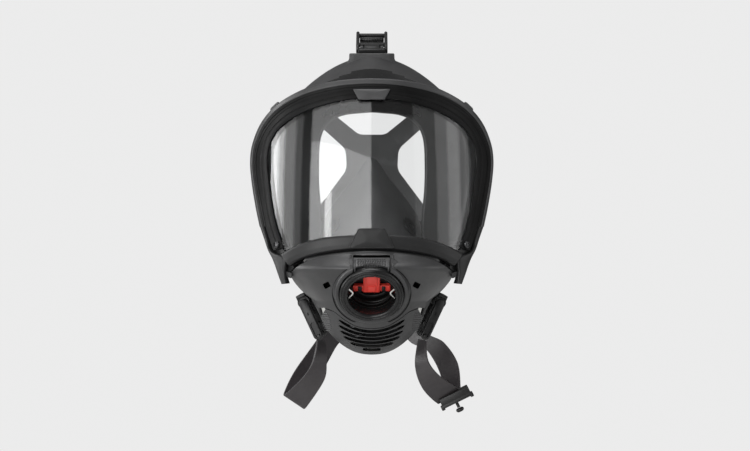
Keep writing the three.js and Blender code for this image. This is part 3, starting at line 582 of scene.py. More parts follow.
def lower_frame():
    """The bar under the window with its raised badge plate, and the arm at each corner."""
    profile = [(0.94, 2.6), (0.88, 3.3), (0.6, 3.6), (0.16, 3.5), (0.05, 3.0), (0, 2.2), (0, 0.5), (0.6, 0.5),
               (0.6, -5.6), (1, -5.6), (1, 1.8)]
    solids = [bar(BAR_UPPER, BAR_LOWER, profile, 220, 0.6, 11)]
    for side in (-1, 1):
        outer, inner = (Curve([(side * x, z) for x, z in edge]) for edge in zip(*CORNER_ARM))
        solids.append(bar(inner, outer, profile, 60, 0.5, 6))
        web = [(side * x, z) for x, z in ((82, -25), (79.5, -40), (74.5, -50), (68, -61), (61, -54),
                                          (63, -45), (71, -38), (76, -26))]
        solids.append(raised_plate(rounded(web, 0.8), (side * 71, -46), -2.0, -5))
        foot = [(side * 62.4, -57.6), (side * 68.4, -56.2), (side * 67.2, -60.6), (side * 63, -62)]
        solids.append(raised_plate(rounded(foot, 0.8), (side * 65.2, -59.2), 1.6, -5))
    outline = [(-10.4, -22.6), (10.4, -22.6), (13.6, -29), (17.8, -38), (-17.8, -38), (-13.6, -29)]
    solids.append(raised_plate(rounded(outline, 1.2), (0, -31.2), 4.9, 0.6))
    edge = rounded(outline, 1.2)
    line = on(visor_depth, np.array((0, -31.2)) + (edge - (0, -31.2)) * 0.97) - (0, 4.95, 0)
    solids.append(swept(np.vstack([line, line[:1]]), 0.32, 8))
    piece("lower_frame", solids, "lower_frame", "frame", weighted=True)


def visor_gasket():
    profile = [(0, 0.5), (0, 1.1), (0.2, 1.6), (0.42, 1.7), (0.5, 1.2), (0.58, 1.7), (1.1, 1.7), (1.1, 0.5)]
    rail = bar(GASKET_INNER, GASKET_OUTER, profile, 260, 0.35, 8.5)
    piece("visor_gasket", [rail], "gasket", "black", weighted=True)


def screws():
    for name, side in SIDES:
        at = np.array((side * 73.4, -35.6))
        place = basis(on(visor_depth, at), facing(visor_depth, at))
        shaft = turned([(0, -9), (1.5, -9), (1.5, 2), (2.7, 2), (2.9, 2.9), (2.5, 3.6), (1.5, 3.9),
                        (1.3, 3.2), (0, 3.1)], 48)
        piece(f"frame_screw_{name}", [moved(shaft, place)], "dark_steel", "steel")


# ---- Visor --------------------------------------------------------------------------------------
def visor():
    rail = [(mix(g[0], f[0], 0.75), mix(g[1], f[1], 0.75)) for _, f, g in RAIL[:10]]
    lower = [(mix(a[0], b[0], 0.45), mix(a[1], b[1], 0.45)) for a, b in LOWER_BAR[4::-1]]
    edge = mirrored_loop(rail + [(77.6, -22), (71, -35), (66.4, -40.6)] + lower)
    middle = np.array((0.0, 25.0))

    def point(u, v):
        return on(visor_depth, middle + (edge(u) - middle) * v[..., None])

    solid = sheet(point, np.arange(180) / 180, np.linspace(0, 1, 40), VISOR_THICKNESS, True,
                  normal=lambda at: facing(visor_depth, at[..., [0, 2]]))
    piece("visor", [solid], "clear", "visor")


# ---- Face blank ---------------------------------------------------------------------------------
def behind_frame(p, depth):
    at = np.array(p, float)
    return on(visor_depth, at) - facing(visor_depth, at) * depth


def face_blank():
    grip_rail = [behind_frame((mix(f[0], o[0], 0.3), mix(f[1], o[1], 0.3)), 9.6) for o, f, _ in RAIL]
    grip_rail += [behind_frame(p, 9.6) for p in ((78.4, -38), (72.4, -50), (67, -60))]
    chin = [inset(p, 0.94) for p in COVER_SIDE[6:] + COVER_BOTTOM]
    grip = mirrored_loop(grip_rail + [(x, cover_depth(x, z) + 15, z) for x, z in chin])
    count = len(grip_rail) + len(chin) - 1

    def spread(half, depth):
        dense = Curve([(x, depth(x, z), z) for x, z in half])(np.linspace(0, 1, 2001))
        length = np.concatenate([[0], np.cumsum(np.linalg.norm(np.diff(dense, axis=0), axis=1))])
        rails = len(grip_rail)
        shares = [0.62 * i / (rails - 1) if i < rails else 0.62 + 0.38 * (i - rails + 1) / len(chin)
                  for i in range(count + 1)]
        at = [np.array([np.interp(s * length[-1], length, dense[:, k]) for k in range(3)]) for s in shares]
        at[0][0] = at[-1][0] = 0
        return mirrored_loop([tuple(p) for p in at])

    rim, opening = spread(REAR_RIM, rim_depth), spread(FACE_OPENING, lambda x, z: rim_depth(x, z) - 14)

    def point(u, v):
        a, b, c = grip(u), rim(u), opening(u)
        knots = [a, mix(a, b, 0.55) + (0, -3, 0), b, mix(b, c, 0.12) + (0, 6, 0),
                 mix(b, c, 0.5) + (0, 3, 0), c]
        return centripetal(knots, v)

    solid = sheet(point, np.arange(240) / 240, with_edges(44, 0.008), -RUBBER, True)
    obj = piece("face_blank", [solid, brow_tab()], "rubber ring frame", "rubber", subdivide=1)
    work = bmesh.new()
    work.from_mesh(obj.data)
    arc = brow_arc(point)
    for face in work.faces:
        x, y, z = face.calc_center_median() / MM
        if abs(x) < arc[-1][0] and y < -3 and z > 70 and z < np.interp(abs(x), arc[:, 0], arc[:, 2]) - 0.5:
            face.material_index = 1
    work.to_mesh(obj.data)
    work.free()
    path = np.vstack([arc[::-1] * (-1, 1, 1), arc[1:]])
    ridge = mesh_object("brow_ridge", [swept(path, 1.0, 12)])
    ridge.data.polygons.foreach_set("material_index", [2] * len(ridge.data.polygons))
    merge(obj, ridge)


def brow_arc(point):
    """The right half of a ridge that rises from the frame's corners to the middle of the brow."""
    arc = []
    vs = np.linspace(0.02, 0.6, 120)
    for u in np.linspace(0, 0.2, 40):
        line = point(np.full(120, u), vs)
        x, z = line[:, 0], line[:, 2]
        wanted = 105.6 - 16 * (np.abs(x) / 44) ** 1.7
        hit = np.argmax(z >= wanted)
        if z[hit] < wanted[hit] or hit == 0:
            break
        arc.append(line[hit] - (0, 0.8, -0.5))
    return np.array(arc)


def brow_tab():
    """The thick tab on the brow that carries the forehead buckle."""
    outline = rounded([(-18.6, 120.5), (18.6, 120.5), (18.6, 115.7), (22.5, 110), (-22.5, 110),
                       (-18.6, 115.7)], 1.2)
    rings = [np.stack([outline[:, 0] * scale, y + 0 * outline[:, 0], 115 + (outline[:, 1] - 115) * scale], -1)
             for scale, y in ((0.96, -11), (1, -10.2), (1, -2.8), (0.96, -2))]
    return skin(np.array(rings), caps="face")


def centripetal(knots, v):
    """A centripetal Catmull-Rom curve through knots, each an array of points, at places v."""
    k = np.stack([2 * knots[0] - knots[1], *knots, 2 * knots[-1] - knots[-2]])
    spans = len(knots) - 1
    x = v * spans
    i = np.clip(np.floor(x), 0, spans - 1).astype(int)
    w = (x - i)[..., None]
    p = [np.take_along_axis(k, (i + j)[None, ..., None], 0)[0] for j in range(4)]
    d = [np.maximum(np.linalg.norm(p[j + 1] - p[j], axis=-1, keepdims=True) ** 0.5, 1e-4) for j in range(3)]
    out = ((p[1] - p[0]) / d[0] - (p[2] - p[0]) / (d[0] + d[1]) + (p[2] - p[1]) / d[1]) * d[1]
    into = ((p[2] - p[1]) / d[1] - (p[3] - p[1]) / (d[1] + d[2]) + (p[3] - p[2]) / d[2]) * d[1]
    bend = (3 * (p[2] - p[1]) - 2 * out - into) * w ** 2 + (2 * (p[1] - p[2]) + out + into) * w ** 3
    return p[1] + out * w + bend


# ---- Chin covers --------------------------------------------------------------------------------
HOLE_RISE = 2.0
SLOTS = [(26, -94.6, -103.8), (26, -99.2, -106.9), (24.8, -103.8, -110), (22.4, -108.5, -113.2),
         (17.1, -113.6, -116.2), (7.2, -119, -119.2)]
SLOT_HALF = 1.3


def cover_normal(at):
    return facing(cover_depth, at[..., [0, 2]])


def bead(x, heights, sink, radius, sides):
    """A round bead that runs down the cover at one x, sunk a little into its face."""
    return swept(on(cover_depth, np.stack([x + 0 * heights, heights], -1), -sink), radius, sides)


def hole_edge(outer, radius):
    """The point of the tilted round hole that lies between its middle and an outer point."""
    middle = np.array((0, PORT_CENTRE[2] + HOLE_RISE))
    d = (outer - middle) / (1, math.cos(PORT_TILT))
    return middle + d * (radius / np.linalg.norm(d, axis=-1, keepdims=True)) * (1, math.cos(PORT_TILT))


def front_cover():
    loop = mirrored_loop(COVER_SIDE + SEAM)

    def point(u, v):
        outer = loop(u)
        inner = hole_edge(outer, RING_RADIUS - 1.2)
        return on(cover_depth, inner + (outer - inner) * v[..., None])

    shell = mesh_object("front_cover", [sheet(point, np.arange(240) / 240, with_edges(22, 0.012),
                                              COVER_THICKNESS, True, normal=cover_normal)])
    inside = RING_RADIUS + 0.35
    window = block((-14.5, -130, -66), (14.5, -60, -43.2), 1.2)
    tools = [moved(rod(inside, -30, 30, 1, segments=96), PORT), window]
    for side in (-1, 1):
        tool = moved(block((-2.6, -12, -2.2), (2.6, 12, 2.2), 0.5),
                     np.array(Matrix.Rotation(side * 0.5, 4, "Y")))
        tools.append(shifted(tool, side * 34.9, float(cover_depth(34.9, -66.8)), -66.8))
    cut(shell, tools)
    profile = [(inside, -3), (27.9, -3), (28.6, -3.9), (29, -8), (31.5, -12.6), (31.5, -13.4),
               (inside, -13.4)]
    collar = mesh_object("collar", [moved(turned(profile, 160, 0.8), PORT)])
    cut(collar, [window, block((-60, -90, -140), (60, -30, -100.6))])
    merge(shell, collar)
    # A thin bead in the near-black gasket finish (finish 1) round the collar is painted shade: it stands for
    # the shadow in the groove at the collar's step.
    edge = loop(np.linspace(0, 1, 241)[:-1])
    line = on(cover_depth, hole_edge(edge, 30.4)) - (0, 0.05, 0)
    groove = mesh_object("groove", [(*swept(np.vstack([line, line[:1]]), 0.55, 8), 1)])
    cut(groove, [block((-19, -130, -66), (19, -60, -43.2)), block((-60, -100, -140), (60, -30, -96))])
    merge(shell, groove)
    rails = [bead(side * 16.4, np.linspace(-43.5, -57.5, 16), 0.3, 0.95, 12) for side in (-1, 1)]
    merge(shell, mesh_object("rails", rails))
    finish_piece(shell, "cover gasket", "cover", sharp=35)


def release_latch():
    def point(u, v):
        x = mix(-14.0, 14.0, u)
        lowest = PORT_CENTRE[2] + HOLE_RISE + 22.6 * np.sqrt(1 - (x / 27) ** 2)
        z = mix(-45.2, lowest + 0.8, v)
        return np.stack([x, cover_depth(x, z) - 0.4, z], -1)

    solids = [sheet(point, with_edges(16, 0.02), with_edges(10, 0.03), 2.4, normal=cover_normal)]
    for row in range(5):
        for column in range(12):
            x, z = -10.6 + 1.86 * column + 0.5 * (row % 2), -46.4 - 1.25 * row
            stud = block((-0.62, -0.8, -0.42), (0.62, 0.6, 0.42), 0.25)
            solids.append(shifted(stud, x, float(cover_depth(x, z)) - 0.5, z))
    solids += [bead(side * 13, np.linspace(-46.5, -58, 12), 0.5, 0.7, 10) for side in (-1, 1)]
    piece("release_latch", solids, "frame", "black", body="release_latch", sharp=40)


def exhalation_cover():
    seam = mirrored_curve([(x, z - 0.7) for x, z in SEAM[:0:-1]])
    bottom = mirrored_curve(COVER_BOTTOM[:0:-1])

    def point(u, v):
        a, b = seam(u), bottom(u)
        return on(cover_depth, a + (b - a) * v[..., None])

    shell = mesh_object("exhalation_cover", [sheet(point, with_edges(150, 0.006), with_edges(26, 0.02),
                                                   COVER_THICKNESS, normal=cover_normal)])
    tools = []
    for half, end, middle in SLOTS:
        x = np.linspace(-half, half, 41)
        z = mix(middle, end, (x / half) ** 2)
        thick = SLOT_HALF * np.sqrt(np.clip(1 - (np.abs(x) / half) ** 14, 0.02, 1))
        corners = ((-95, -1), (-95, 1), (-5, 1), (-5, -1))
        section = [np.stack([x, y + 0 * x, z + s * thick], -1) for y, s in corners]
        tools.append(skin(np.stack(section, 1), caps="strip"))
    cut(shell, tools)
    ribs = []
    for side in (-1, 1):
        for i in range(9):
            z = -89.8 - 1.75 * i
            reach = 4.1 * math.sqrt(max(1 - ((i - 4) / 5) ** 2, 0.1))
            middle = 37.2 - 0.028 * (i + 1) ** 2
            x = side * np.linspace(middle - reach, middle + reach * 0.72, 12)
            line = on(cover_depth, np.stack([x, z + 0 * x], -1)) - (0, 0.1, 0)
            ribs.append(swept(line, 0.42, 8))
    merge(shell, mesh_object("ribs", ribs))
    finish_piece(shell, "cover", "cover", sharp=35)


# ---- Connector housing, clamp and port ----------------------------------------------------------
def connector_housing():
    loop = mirrored_loop(PLATE_EDGE)

    def point(u, v):
        outer = loop(u)
        inner = hole_edge(outer, TUBE_RADIUS - 1.2)
        return on(cover_depth, inner + (outer - inner) * v[..., None], PLATE_SETBACK)

    plate = sheet(point, np.arange(120) / 120, with_edges(12, 0.02), 2.4, True, normal=cover_normal)
    x = np.linspace(-52, 52, 60)
    z = -41.5 - 7 * (np.abs(x) / 52) ** 2
    shelf = swept(np.stack([x, cover_depth(x, z) + 5, z], -1), 3.0, 12)
    wall = BORE_RADIUS - 0.2
    tube = [(wall, -10.5), (TUBE_RADIUS, -10.5), (TUBE_RADIUS, TUBE_END), (wall, TUBE_END), (wall, -19.4),
            (wall - 0.7, -19), (wall - 0.7, -17.4), (wall, -17)]
    piece("connector_housing", [plate, shelf, (*moved(turned(tube, 128), PORT), 1)], "black bore", "black",
          weighted=True)


def connector_clamp():
    path = mirrored_curve((COVER_SIDE[4:] + COVER_BOTTOM)[::-1])
    plane = path(np.linspace(0, 1, 160))
    place = [(0.93, 3.6), (0.935, 4.2), (0.935, 6.8), (0.93, 7.4), (0.87, 7.4), (0.865, 6.8), (0.865, 4.2),
             (0.87, 3.6)]
    rings = [on(cover_depth, np.stack(inset(plane.T, factor), -1), back) for factor, back in place]
    piece("connector_clamp", [skin(np.stack(rings, 1), caps="face")], "steel", "steel", weighted=True)


def port_ring():
    profile = [(BORE_RADIUS, -10), (BORE_RADIUS, -1.6), (BORE_RADIUS + 0.5, -0.6), (BORE_RADIUS + 1.2, 0),
               (20.6, 0), (20.9, -0.5), (21.3, -0.5), (21.6, 0), (22.9, -0.1), (23.2, -0.8), (23.6, -0.8),
               (23.9, -0.5), (24.7, -1.4), (RING_RADIUS, -2.6), (RING_RADIUS, -6.6), (21.6, -7.2),
               (21.6, -10)]
    ring = mesh_object("port_ring", [moved(turned(profile, 160, 0.25), PORT)])
    tools = [moved(block((min(s * 17, s * 23.4), -6.4, -6.8), (max(s * 17, s * 23.4), -3.4, 6.8), 0.3), PORT)
             for s in (-1, 1)]
    cut(ring, tools)
    finish_piece(ring, "ring", "ring", sharp=40)
    angle = np.linspace(0, 2 * math.pi, 97)
    seal = np.stack([16.6 * np.cos(angle), -12.5 + 0 * angle, 16.6 * np.sin(angle)], -1)
    piece("port_seal", [moved(swept(seal, 0.9, 16), PORT)], "gasket", "black")
    for name, side in SIDES:
        bend = Curve([(side * 19, -4.9, -5.6), (side * 16.6, -4.9, -2.9), (side * 14.6, -4.9, 0),
                      (side * 16.6, -4.9, 2.9), (side * 19, -4.9, 5.6)])(np.linspace(0, 1, 40))
        piece(f"retaining_wire_{name}", [moved(swept(bend, 0.75, 16), PORT)], "steel", "steel",
              body=f"retaining_wire_{name}")


def inhalation_valve():
    """A dark ring and lower spoke, with the stepped block and two short wings standing out in red."""
    ring = turned([(17.3, -26), (17.3, -21), (14.6, -21), (14.6, -26)], 96, 0.6)
    dark = [ring, block((-1.6, -25.4, -16), (1.6, -21.6, -8), 0.5),
            block((-16, -25.4, -1.6), (16, -22.6, 1.6), 0.5)]
    red = [block((-6.6, -25.6, -6.4), (6.6, -18, 9.6), 0.9, 3),
           block((-4.6, -19, -6.4), (4.6, -17.2, 2.2), 0.7, 3),
           block((-3.4, -19, 3.4), (3.4, -17.2, 8.6), 0.6, 3)]
    for side in (-1, 1):
        wing = block((-4.2, -24, -3), (4.2, -19.6, 2.6), 0.8, 3)
        tip = block((-1.5, -22, -4.2), (1.5, -18.4, 0.8), 0.5, 2)
        red.append(shifted(wing, side * 10.6, 0, 7.0))
        dark.append(shifted(tip, side * 9.2, 0, 8.6))
    solids = [moved(s, PORT) for s in dark] + [(*moved(s, PORT), 1) for s in red]
    piece("inhalation_valve_carrier", solids, "black red", "red")
    disc = turned([(0, -27.2), (15.4, -27.2), (15.8, -26.9), (15.4, -26.4), (8, -26.6), (0, -26.5)], 96)
    piece("inhalation_valve_disc", [moved(disc, PORT)], "silicone", "silicone", body="inhalation_valve")


# ---- Nose cup -----------------------------------------------------------------------------------
CUP_FACE = [(0, 33), (13, 17), (27, 0), (37, -16), (40.5, -36), (36, -56), (20, -72), (0, -78)]
CUP_LOOP = mirrored_loop([(x, -14 + 14 * (x / 40) - 10 * min(max(z / 33, 0), 1), z) for x, z in CUP_FACE])


def cup_point(u, v):
    face = CUP_LOOP(u)
    angle = math.pi / 2 - u * 2 * math.pi
    local = np.stack([20.5 * np.cos(angle), TUBE_END - 5.5 + 0 * angle, 3 - 20.5 * np.sin(angle)], -1)
    neck = local @ PORT[:3, :3].T + PORT[:3, 3]
    belly = mix(neck, face, 0.6) + face * (0.1, 0, 0) + (0, -5, 0)
    return centripetal([neck, belly, face], v)


def nose_cup():
    wall = sheet(cup_point, np.arange(120) / 120, with_edges(26, 0.02), -1.8, True)
    shell = mesh_object("nose_cup", [wall])
    seats = []
    v, d = 0.52, 0.004
    for name, u in (("left", 0.835), ("right", 0.165)):
        around = ((u - d, v), (u + d, v), (u, v - d), (u, v + d), (u, v))
        before_u, after_u, before_v, after_v, at = (cup_point(*map(np.array, place)) for place in around)
        away = unit(np.cross(after_u - before_u, after_v - before_v))
        seats.append((name, basis(at, -away if away[1] > 0 else away, (0, 0, 1))))
    cut(shell, [moved(rod(6.5, -6, 6, 1), place) for _, place in seats])
    finish_piece(shell, "silicone", "silicone", sharp=40)
    for name, place in seats:
        seat = turned([(3.4, -2.2), (6, -2.2), (6, 2.2), (8, 2.2), (8, 3.4), (3.4, 3.4)], 64)
        piece(f"check_valve_seat_{name}", [moved(seat, place)], "black", "black")
        disc = turned([(0, -3.4), (5.4, -3.4), (5.6, -3), (5.4, -2.6), (0, -2.6)], 64)
        piece(f"check_valve_disc_{name}", [moved(disc, place)], "silicone", "silicone",
              body=f"check_valve_{name}")


# ---- Head plate and straps ----------------------------------------------------------------------
PLATE_OUTLINE = [(10, 94), (24, 92), (42, 89.5), (54, 84), (60, 70), (48, 69), (23, 47), (22, 29), (46, -4),
                 (47, -14), (33, -21), (14, 4)]
TOP_CUTOUT = [(11.5, 59.7), (33, 76.5), (18, 81.5)]
NECK_LEFT = {
    "outer": [(-44.6, -12, -114.6), (-45.6, -14, -121), (-49, -14, -133), (-57, -10, -145), (-70.4, -2, -158),
              (-72, 4, -157), (-64, 18, -141), (-46, 42, -116), (-36, 62, -98), (-42, 83, -56),
              (-46.5, 86.4, -8)],
    "inner": [(-39, 6, -114.2), (-38, -2, -121), (-37.2, -6, -133), (-39, -8, -147), (-53, -4, -168.6),
              (-54.5, 3, -168), (-46, 20, -152), (-32, 46, -126), (-20, 66, -106), (-24, 88, -62),
              (-32, 92.8, -12)]}
NECK_RIGHT = {
    "outer": [(44.6, -12, -114.6), (44.2, -14, -122), (46, -14, -131), (51, -12, -138.6), (59, -8, -146),
              (71, -2, -154), (73, 4, -152), (71, 14, -134), (60, 24, -118), (42, 44, -105), (42, 83, -58),
              (46.5, 86.4, -8)],
    "inner": [(39, 6, -114.2), (37, -1, -123), (35.6, -6, -134), (37.6, -8, -145.4), (43, -7, -156),
              (52.4, -4, -165.4), (55, 3, -164.6), (58, 14, -148), (47, 30, -126), (29, 52, -114),
              (24, 88, -64), (32, 92.8, -12)]}
FOREHEAD_RUN = [(27, 130.8), (36, 127), (58, 117), (78, 107.5), (92, 100.6), (99, 95.6), (100.8, 89)]
TEMPLE_RUN = [(80, 67, 44), (76, 74, 50), (69, 78.5, 61), (59.5, 78.8, 78)]
TEMPLE_LEAN = [(0, 0, 1), (0, 0, 1), (-0.1, 0, 0.95), (-0.33, 0, 0.77)]


def plate_depth(x, z):
    return 106 - x * x / 150 - (z - 40) ** 2 / 260


def both(half):
    return list(half) + [(-x, z) for x, z in half][::-1]


def harness_plate():
    work = bmesh.new()
    for outline in (rounded(both(PLATE_OUTLINE), 5, 6), rounded(both(TOP_CUTOUT), 4, 6)):
        ring = [work.verts.new((x, 0, z)) for x, z in outline]
        for a, b in zip(ring, ring[1:] + ring[:1]):
            work.edges.new((a, b))
    bmesh.ops.triangle_fill(work, edges=work.edges[:], use_beauty=True, use_dissolve=False)
    for axis, low, high in ((0, -60, 60), (2, -21, 94)):
        for at in np.arange(low + 3, high, 4):
            place, normal = [0, 0, 0], [0, 0, 0]
            place[axis], normal[axis] = at, 1
            bmesh.ops.bisect_plane(work, geom=work.verts[:] + work.edges[:] + work.faces[:], plane_co=place,
                                   plane_no=normal)
    for v in work.verts:
        x, z = v.co.x, v.co.z
        v.co = Vector((x, plate_depth(x, z) + 1.2, z)) * MM
    mesh = bpy.data.meshes.new("harness_plate")
    work.to_mesh(mesh)
    work.free()
    obj = new_object("harness_plate", mesh)
    thick = obj.modifiers.new("thickness", "SOLIDIFY")
    thick.thickness, thick.offset = 2.4 * MM, 0
    bevelled(obj, 0.6, 50)
    applied(obj)
    finish_piece(obj, "rubber", "rubber", weighted=True)


def ribbon(edge_a, edge_b, stations, thickness=STRAP_THICKNESS):
    """A flat strap with rounded edges, ruled between two edge curves."""
    t = np.linspace(0, 1, stations)
    a, b = Curve(edge_a)(t), Curve(edge_b)(t)
    middle, half = (a + b) / 2, (b - a) / 2
    along = unit(np.gradient(middle, axis=0))
    up = unit(np.cross(along, half))
    reach = np.linalg.norm(half, axis=1).mean()
    outline = [(-1, -thickness / 2), (1, -thickness / 2), (1, thickness / 2), (-1, thickness / 2)]
    outline = rounded([(s * reach, h) for s, h in outline], 0.7) / (reach, 1)
    section = middle[:, None] + half[:, None] * outline[None, :, :1] + up[:, None] * outline[None, :, 1:]
    return skin(section, caps="face")


def strap(name, edge_a, edge_b, stations, buckle, start, end):
    """A harness strap ruled between two edge curves; buckle, start and end are not used."""
    obj = mesh_object(name, [ribbon(edge_a, edge_b, stations)])
    finish_piece(obj, "strap", "strap", body=None, weighted=True)
    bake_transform(obj)


def straps():
    edges = [[(s * 9, y, z) for y, z in FOREHEAD_RUN] for s in (-1, 1)]
    strap("forehead_strap", *edges, 90, "forehead_buckle", (0, 66, 112), (0, 34, 128))
    for name, side in SIDES:
        neck = {"left": NECK_LEFT, "right": NECK_RIGHT}[name]
        strap(f"neck_strap_{name}", neck["outer"], neck["inner"], 240, f"neck_buckle_{name}",
              (side * 45, -6, -161.4), (side * 45, -15.9, -156.2))
        edges = [[(side * (x + 9 * sign * lx), y + 9 * sign * ly, z + 9 * sign * lz)
                  for (x, y, z), (lx, ly, lz) in zip(TEMPLE_RUN, TEMPLE_LEAN)] for sign in (1, -1)]
        strap(f"temple_strap_{name}", *edges, 80, f"temple_buckle_{name}", (side * 68, 79, 62),
              (side * 80, 67, 44))


def strap_clip():
    """A sprung clip with two jaws on the right neck strap, and the knob on its stem."""
    place = basis((69.8, 0.6, -163.8), (0.44, 0, -0.9), (0.9, 0, 0.44))
    half = 13
    solids = [block((-half, -1.4, -7.4), (half, 1.6, 7.4), 0.7, 3)]
    solids += [block((-half, -7, low), (half, -0.6, low + 2), 0.7, 3) for low in (5.4, -7.4)]
    solids += [block((end - 1.5, -1, -3.4), (end + 1.5, 3.2, 3.4), 0.8, 3) for end in (-half, half)]
    solids.append(shifted(turned([(0, 1), (1.3, 1), (1.3, 6.4), (0, 6.4)], 32), -1, 0, 0))
    piece("strap_clip", [moved(s, place) for s in solids], "black", "black")
    knob = turned([(0, 7), (2.6, 7), (3.2, 7.6), (3.4, 8.4), (3.1, 9.4), (2.2, 10.1), (0, 10.2)], 48)
    piece("strap_clip_knob", [moved(shifted(knob, -1, 0, 0), place)], "black", "black")


# ---- Buckles ------------------------------------------------------------------------------------
def cheek(x, half, low, high, reach):
    """A buckle's side plate: long, with round ends and an oval hollow near its far end."""
    angle = np.linspace(0, 2 * math.pi, 64, endpoint=False)
    middle, straight = (low + high) / 2, (high - low) / 2 - reach
    lift = np.where(np.cos(angle) > 0, straight, -straight)
    sections = []
    side = math.copysign(1, x)
    for out, scale in ((-half, 0.84), (-half + 0.6, 1), (half - 0.8, 1), (half, 0.8)):
        sections.append((out, middle + lift + scale * reach * np.cos(angle), scale * reach * np.sin(angle)))
    far = low + reach + 4.6 + lift / straight * 4.4
    for out, scale in ((half, 0.58), (half - 1.7, 0.5)):
        sections.append((out, far + scale * reach * np.cos(angle), scale * reach * np.sin(angle)))
    return skin(np.array([np.stack([x + side * out + 0 * angle, y, z], -1) for out, y, z in sections]),
                caps="face")


def rod_at(x, radius, half):
    """An ear's round end, with a raised rim and a hollow round the pin."""
    profile = [(PIN_RADIUS, -half), (radius, -half), (radius, half), (radius * 0.74, half),
               (radius * 0.66, half - 0.5), (PIN_RADIUS, half - 0.5)]
    vertices, faces = turned(profile, 64, 0.2)
    side = math.copysign(1, x)
    return vertices[:, [1, 0, 2]] * (side, 1, 1) + (x, 0, 0), faces


def buckle(name, pin, away, pin_axis, ear=3.4, lug_half=3.0):
    """A buckle's hinge pin lies along X at the origin of its own frame, and it runs along -Y."""
    place = basis(pin, -np.array(away, float), pin_axis)
    reach = 7
    lug = [block((-11, reach - 3, -lug_half), (11, reach, lug_half), 0.8, 3)]
    for x in (-8.4, 8.4):
        lug += [rod_at(x, ear, 1.3), block((x - 1.3, 0, 0.8 - ear), (x + 1.3, reach - 1, ear - 0.8), 0.5)]
    pieces = {"lug": (lug, "black", "mask"), "pin": ([rod(PIN_RADIUS, -10.5, 10.5)], "dark_steel", "mask")}
    half, low = BUCKLE_WIDTH / 2, -BUCKLE_LENGTH
    bars = [block((-half, low, -1.6), (half, -28.6, 1.6), 0.8, 3),
            block((-half, -12, -1.6), (half, -8, 1.6), 0.8, 3), block((-6.4, -9, -1.5), (6.4, -1, 1.5), 0.5),
            rod(3, -6.6, 6.6)]
    for side in (-1, 1):
        bars.append(cheek(side * 11.7, 1.3, low - 1, 2.6, CHEEK))
    pieces["frame"] = (bars, "black", name)
    grooves = [rod(2.3, -10, 10)] + [rod(2.42, x - 0.4, x + 0.4, bevel=0.2) for x in np.linspace(-8, 8, 9)]
    pieces["roller"] = ([shifted(groove, 0, -21, 0) for groove in grooves], "ring", name)
    for part, (solids, material, body) in pieces.items():
        slot = {"pin": "steel", "roller": "ring"}.get(part, "black")
        piece(f"{name}_{part}", [moved(s, place) for s in solids], material, slot, body=body)


def buckles():
    buckle("forehead_buckle", (0, 2.4, 124.6), (0, 0.88, 0.47), (1, 0, 0))
    for name, side in SIDES:
        buckle(f"temple_buckle_{name}", (side * 87, 34, 43), (-side * 0.2, 0.98, 0), (0, 0, 1))
        buckle(f"neck_buckle_{name}", (side * 54.5, -4, -82.5), (-side * 0.42, 0, -0.91),
               (-side * 0.12, 0.99, 0.05), 5.0, 4.0)


# ---- Pieces kept from the frame -----------------------------------------------------------------
def carried_over():
    """Small inner pieces keep their own solids, with softened edges and a real material."""
    finishes = {"exhalation_valve_seat": ("black", "black"), "exhalation_valve_disc": ("gasket", "silicone"),
                "exhalation_spring": ("dark_steel", "steel"), "diaphragm_ring": ("black", "ring"),
                "speech_diaphragm": ("dark_steel", "steel"), "frame_nut_left": ("dark_steel", "steel"),
                "frame_nut_right": ("dark_steel", "steel")}
    for node, (finish, slot) in finishes.items():
        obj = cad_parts[node]
        obj.data.materials.clear()
        obj.data.materials.append(MATERIALS[finish])
        bevelled(obj, 0.1, 40)


# ---- Camera, light and floor --------------------------------------------------------------------
CAMERA_PLACE = (0.0026, -1.457, -0.0204)
LENS, SENSOR_WIDTH = 85, 36
FLOOR_HEIGHT = -290


def camera():
    data = bpy.data.cameras.new("camera")
    data.lens, data.sensor_width = LENS, SENSOR_WIDTH
    obj = new_object("camera", data)
    obj.location, obj.rotation_euler = CAMERA_PLACE, (math.radians(90), 0, 0)
    bpy.context.scene.camera = obj


def panel(name, place, target, size, radiance):
    """A soft rectangular light, facing a target, with the radiance that its reflection shows."""
    data = bpy.data.lights.new(name, "AREA")
    data.shape, (data.size, data.size_y) = "RECTANGLE", size
    data.energy = radiance * math.pi * size[0] * size[1]
    obj = new_object(name, data)
    obj.location = place
    obj.rotation_euler = (Vector(target) - Vector(place)).to_track_quat("-Z", "Y").to_euler()
    obj.visible_camera = False


PANEL_DISTANCE = 2.4
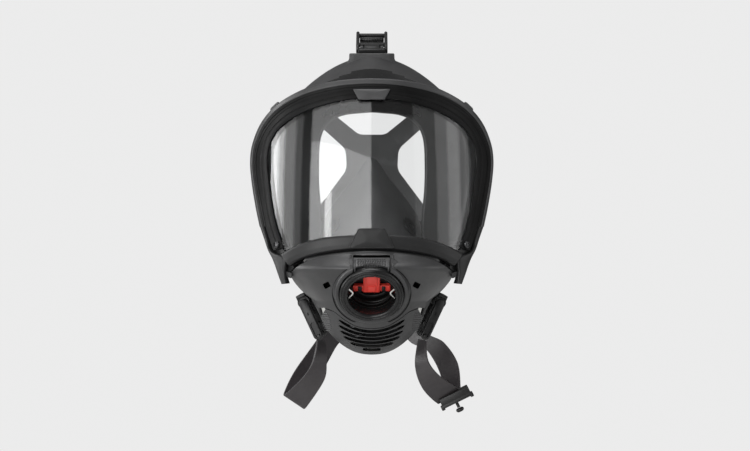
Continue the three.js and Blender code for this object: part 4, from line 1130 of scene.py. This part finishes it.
# Soft panels round the object: bearing from the camera's side (+ is right), spread, middle height,
# height, and radiance.
PANELS = [("front_left_panel", -25.3, 50, 0.25, 1.6, 3.4),
          ("front_left_upper_panel", -25.3, 50, 1.75, 1.4, 1.6), ("left_card", -64, 8, 0.7, 2.6, 0.6),
          ("left_middle_card", -75, 14, 0.7, 2.6, 1.7), ("left_edge_card", -86, 8, 0.7, 2.6, 4.5),
          ("left_strip", -95, 10, 0.5, 2.2, 8.0), ("right_card", 43, 22, 0.7, 2.6, 0.3),
          ("right_middle_card", 60.5, 13, 0.7, 2.6, 0.95), ("right_side_card", 74.5, 15, 0.7, 2.6, 1.75),
          ("right_edge_card", 88, 12, 0.7, 2.6, 0.7)]


def studio():
    bpy.context.scene.view_settings.view_transform = "Standard"
    world = bpy.data.worlds.new("studio")
    bpy.context.scene.world = world
    world.use_nodes = True
    tree = world.node_tree
    tree.nodes.clear()
    path, both_worlds = tree.nodes.new("ShaderNodeLightPath"), tree.nodes.new("ShaderNodeMixShader")
    tree.links.new(path.outputs["Is Camera Ray"], both_worlds.inputs[0])
    for i, (tone, strength) in enumerate(((1, 0.2), (0.836, 1)), 1):
        light = tree.nodes.new("ShaderNodeBackground")
        light.inputs["Color"].default_value = (tone, tone, tone, 1)
        light.inputs["Strength"].default_value = strength
        tree.links.new(light.outputs[0], both_worlds.inputs[i])
    tree.links.new(both_worlds.outputs[0], tree.nodes.new("ShaderNodeOutputWorld").inputs[0])
    for name, bearing, spread, rise, height, radiance in PANELS:
        angle = math.radians(bearing)
        place = PANEL_DISTANCE * Vector((math.sin(angle), -math.cos(angle), 0)) + Vector((0, 0, rise))
        width = 2 * PANEL_DISTANCE * math.tan(math.radians(spread / 2))
        panel(name, place, (0, 0, rise), (width, height), radiance)
    panel("left_lamp", (-1.32, -2.1, 0.31), (0, 0, 0), (0.26, 0.5), 5.0)
    panel("top_panel", (-0.15, -0.35, 2.4), (0, 0, 0), (1.8, 1.6), 3.6)


def floor():
    """A round pale floor below the object, with a softly turned-down edge."""
    profile = [(0, -0.4), (640, -0.4), (650, -3), (640, -10), (0, -10)]
    vertices, faces = turned(profile, 128)
    disc = mesh_object("floor", [(vertices[:, [0, 2, 1]] + (0, 0, FLOOR_HEIGHT), faces)])
    disc.data.materials.append(MATERIALS["floor"])


camera()
studio()
floor()
upper_frame()
lower_frame()
visor_gasket()
screws()
visor()
face_blank()
front_cover()
release_latch()
exhalation_cover()
connector_housing()
connector_clamp()
port_ring()
inhalation_valve()
nose_cup()
harness_plate()
straps()
strap_clip()
buckles()
carried_over()
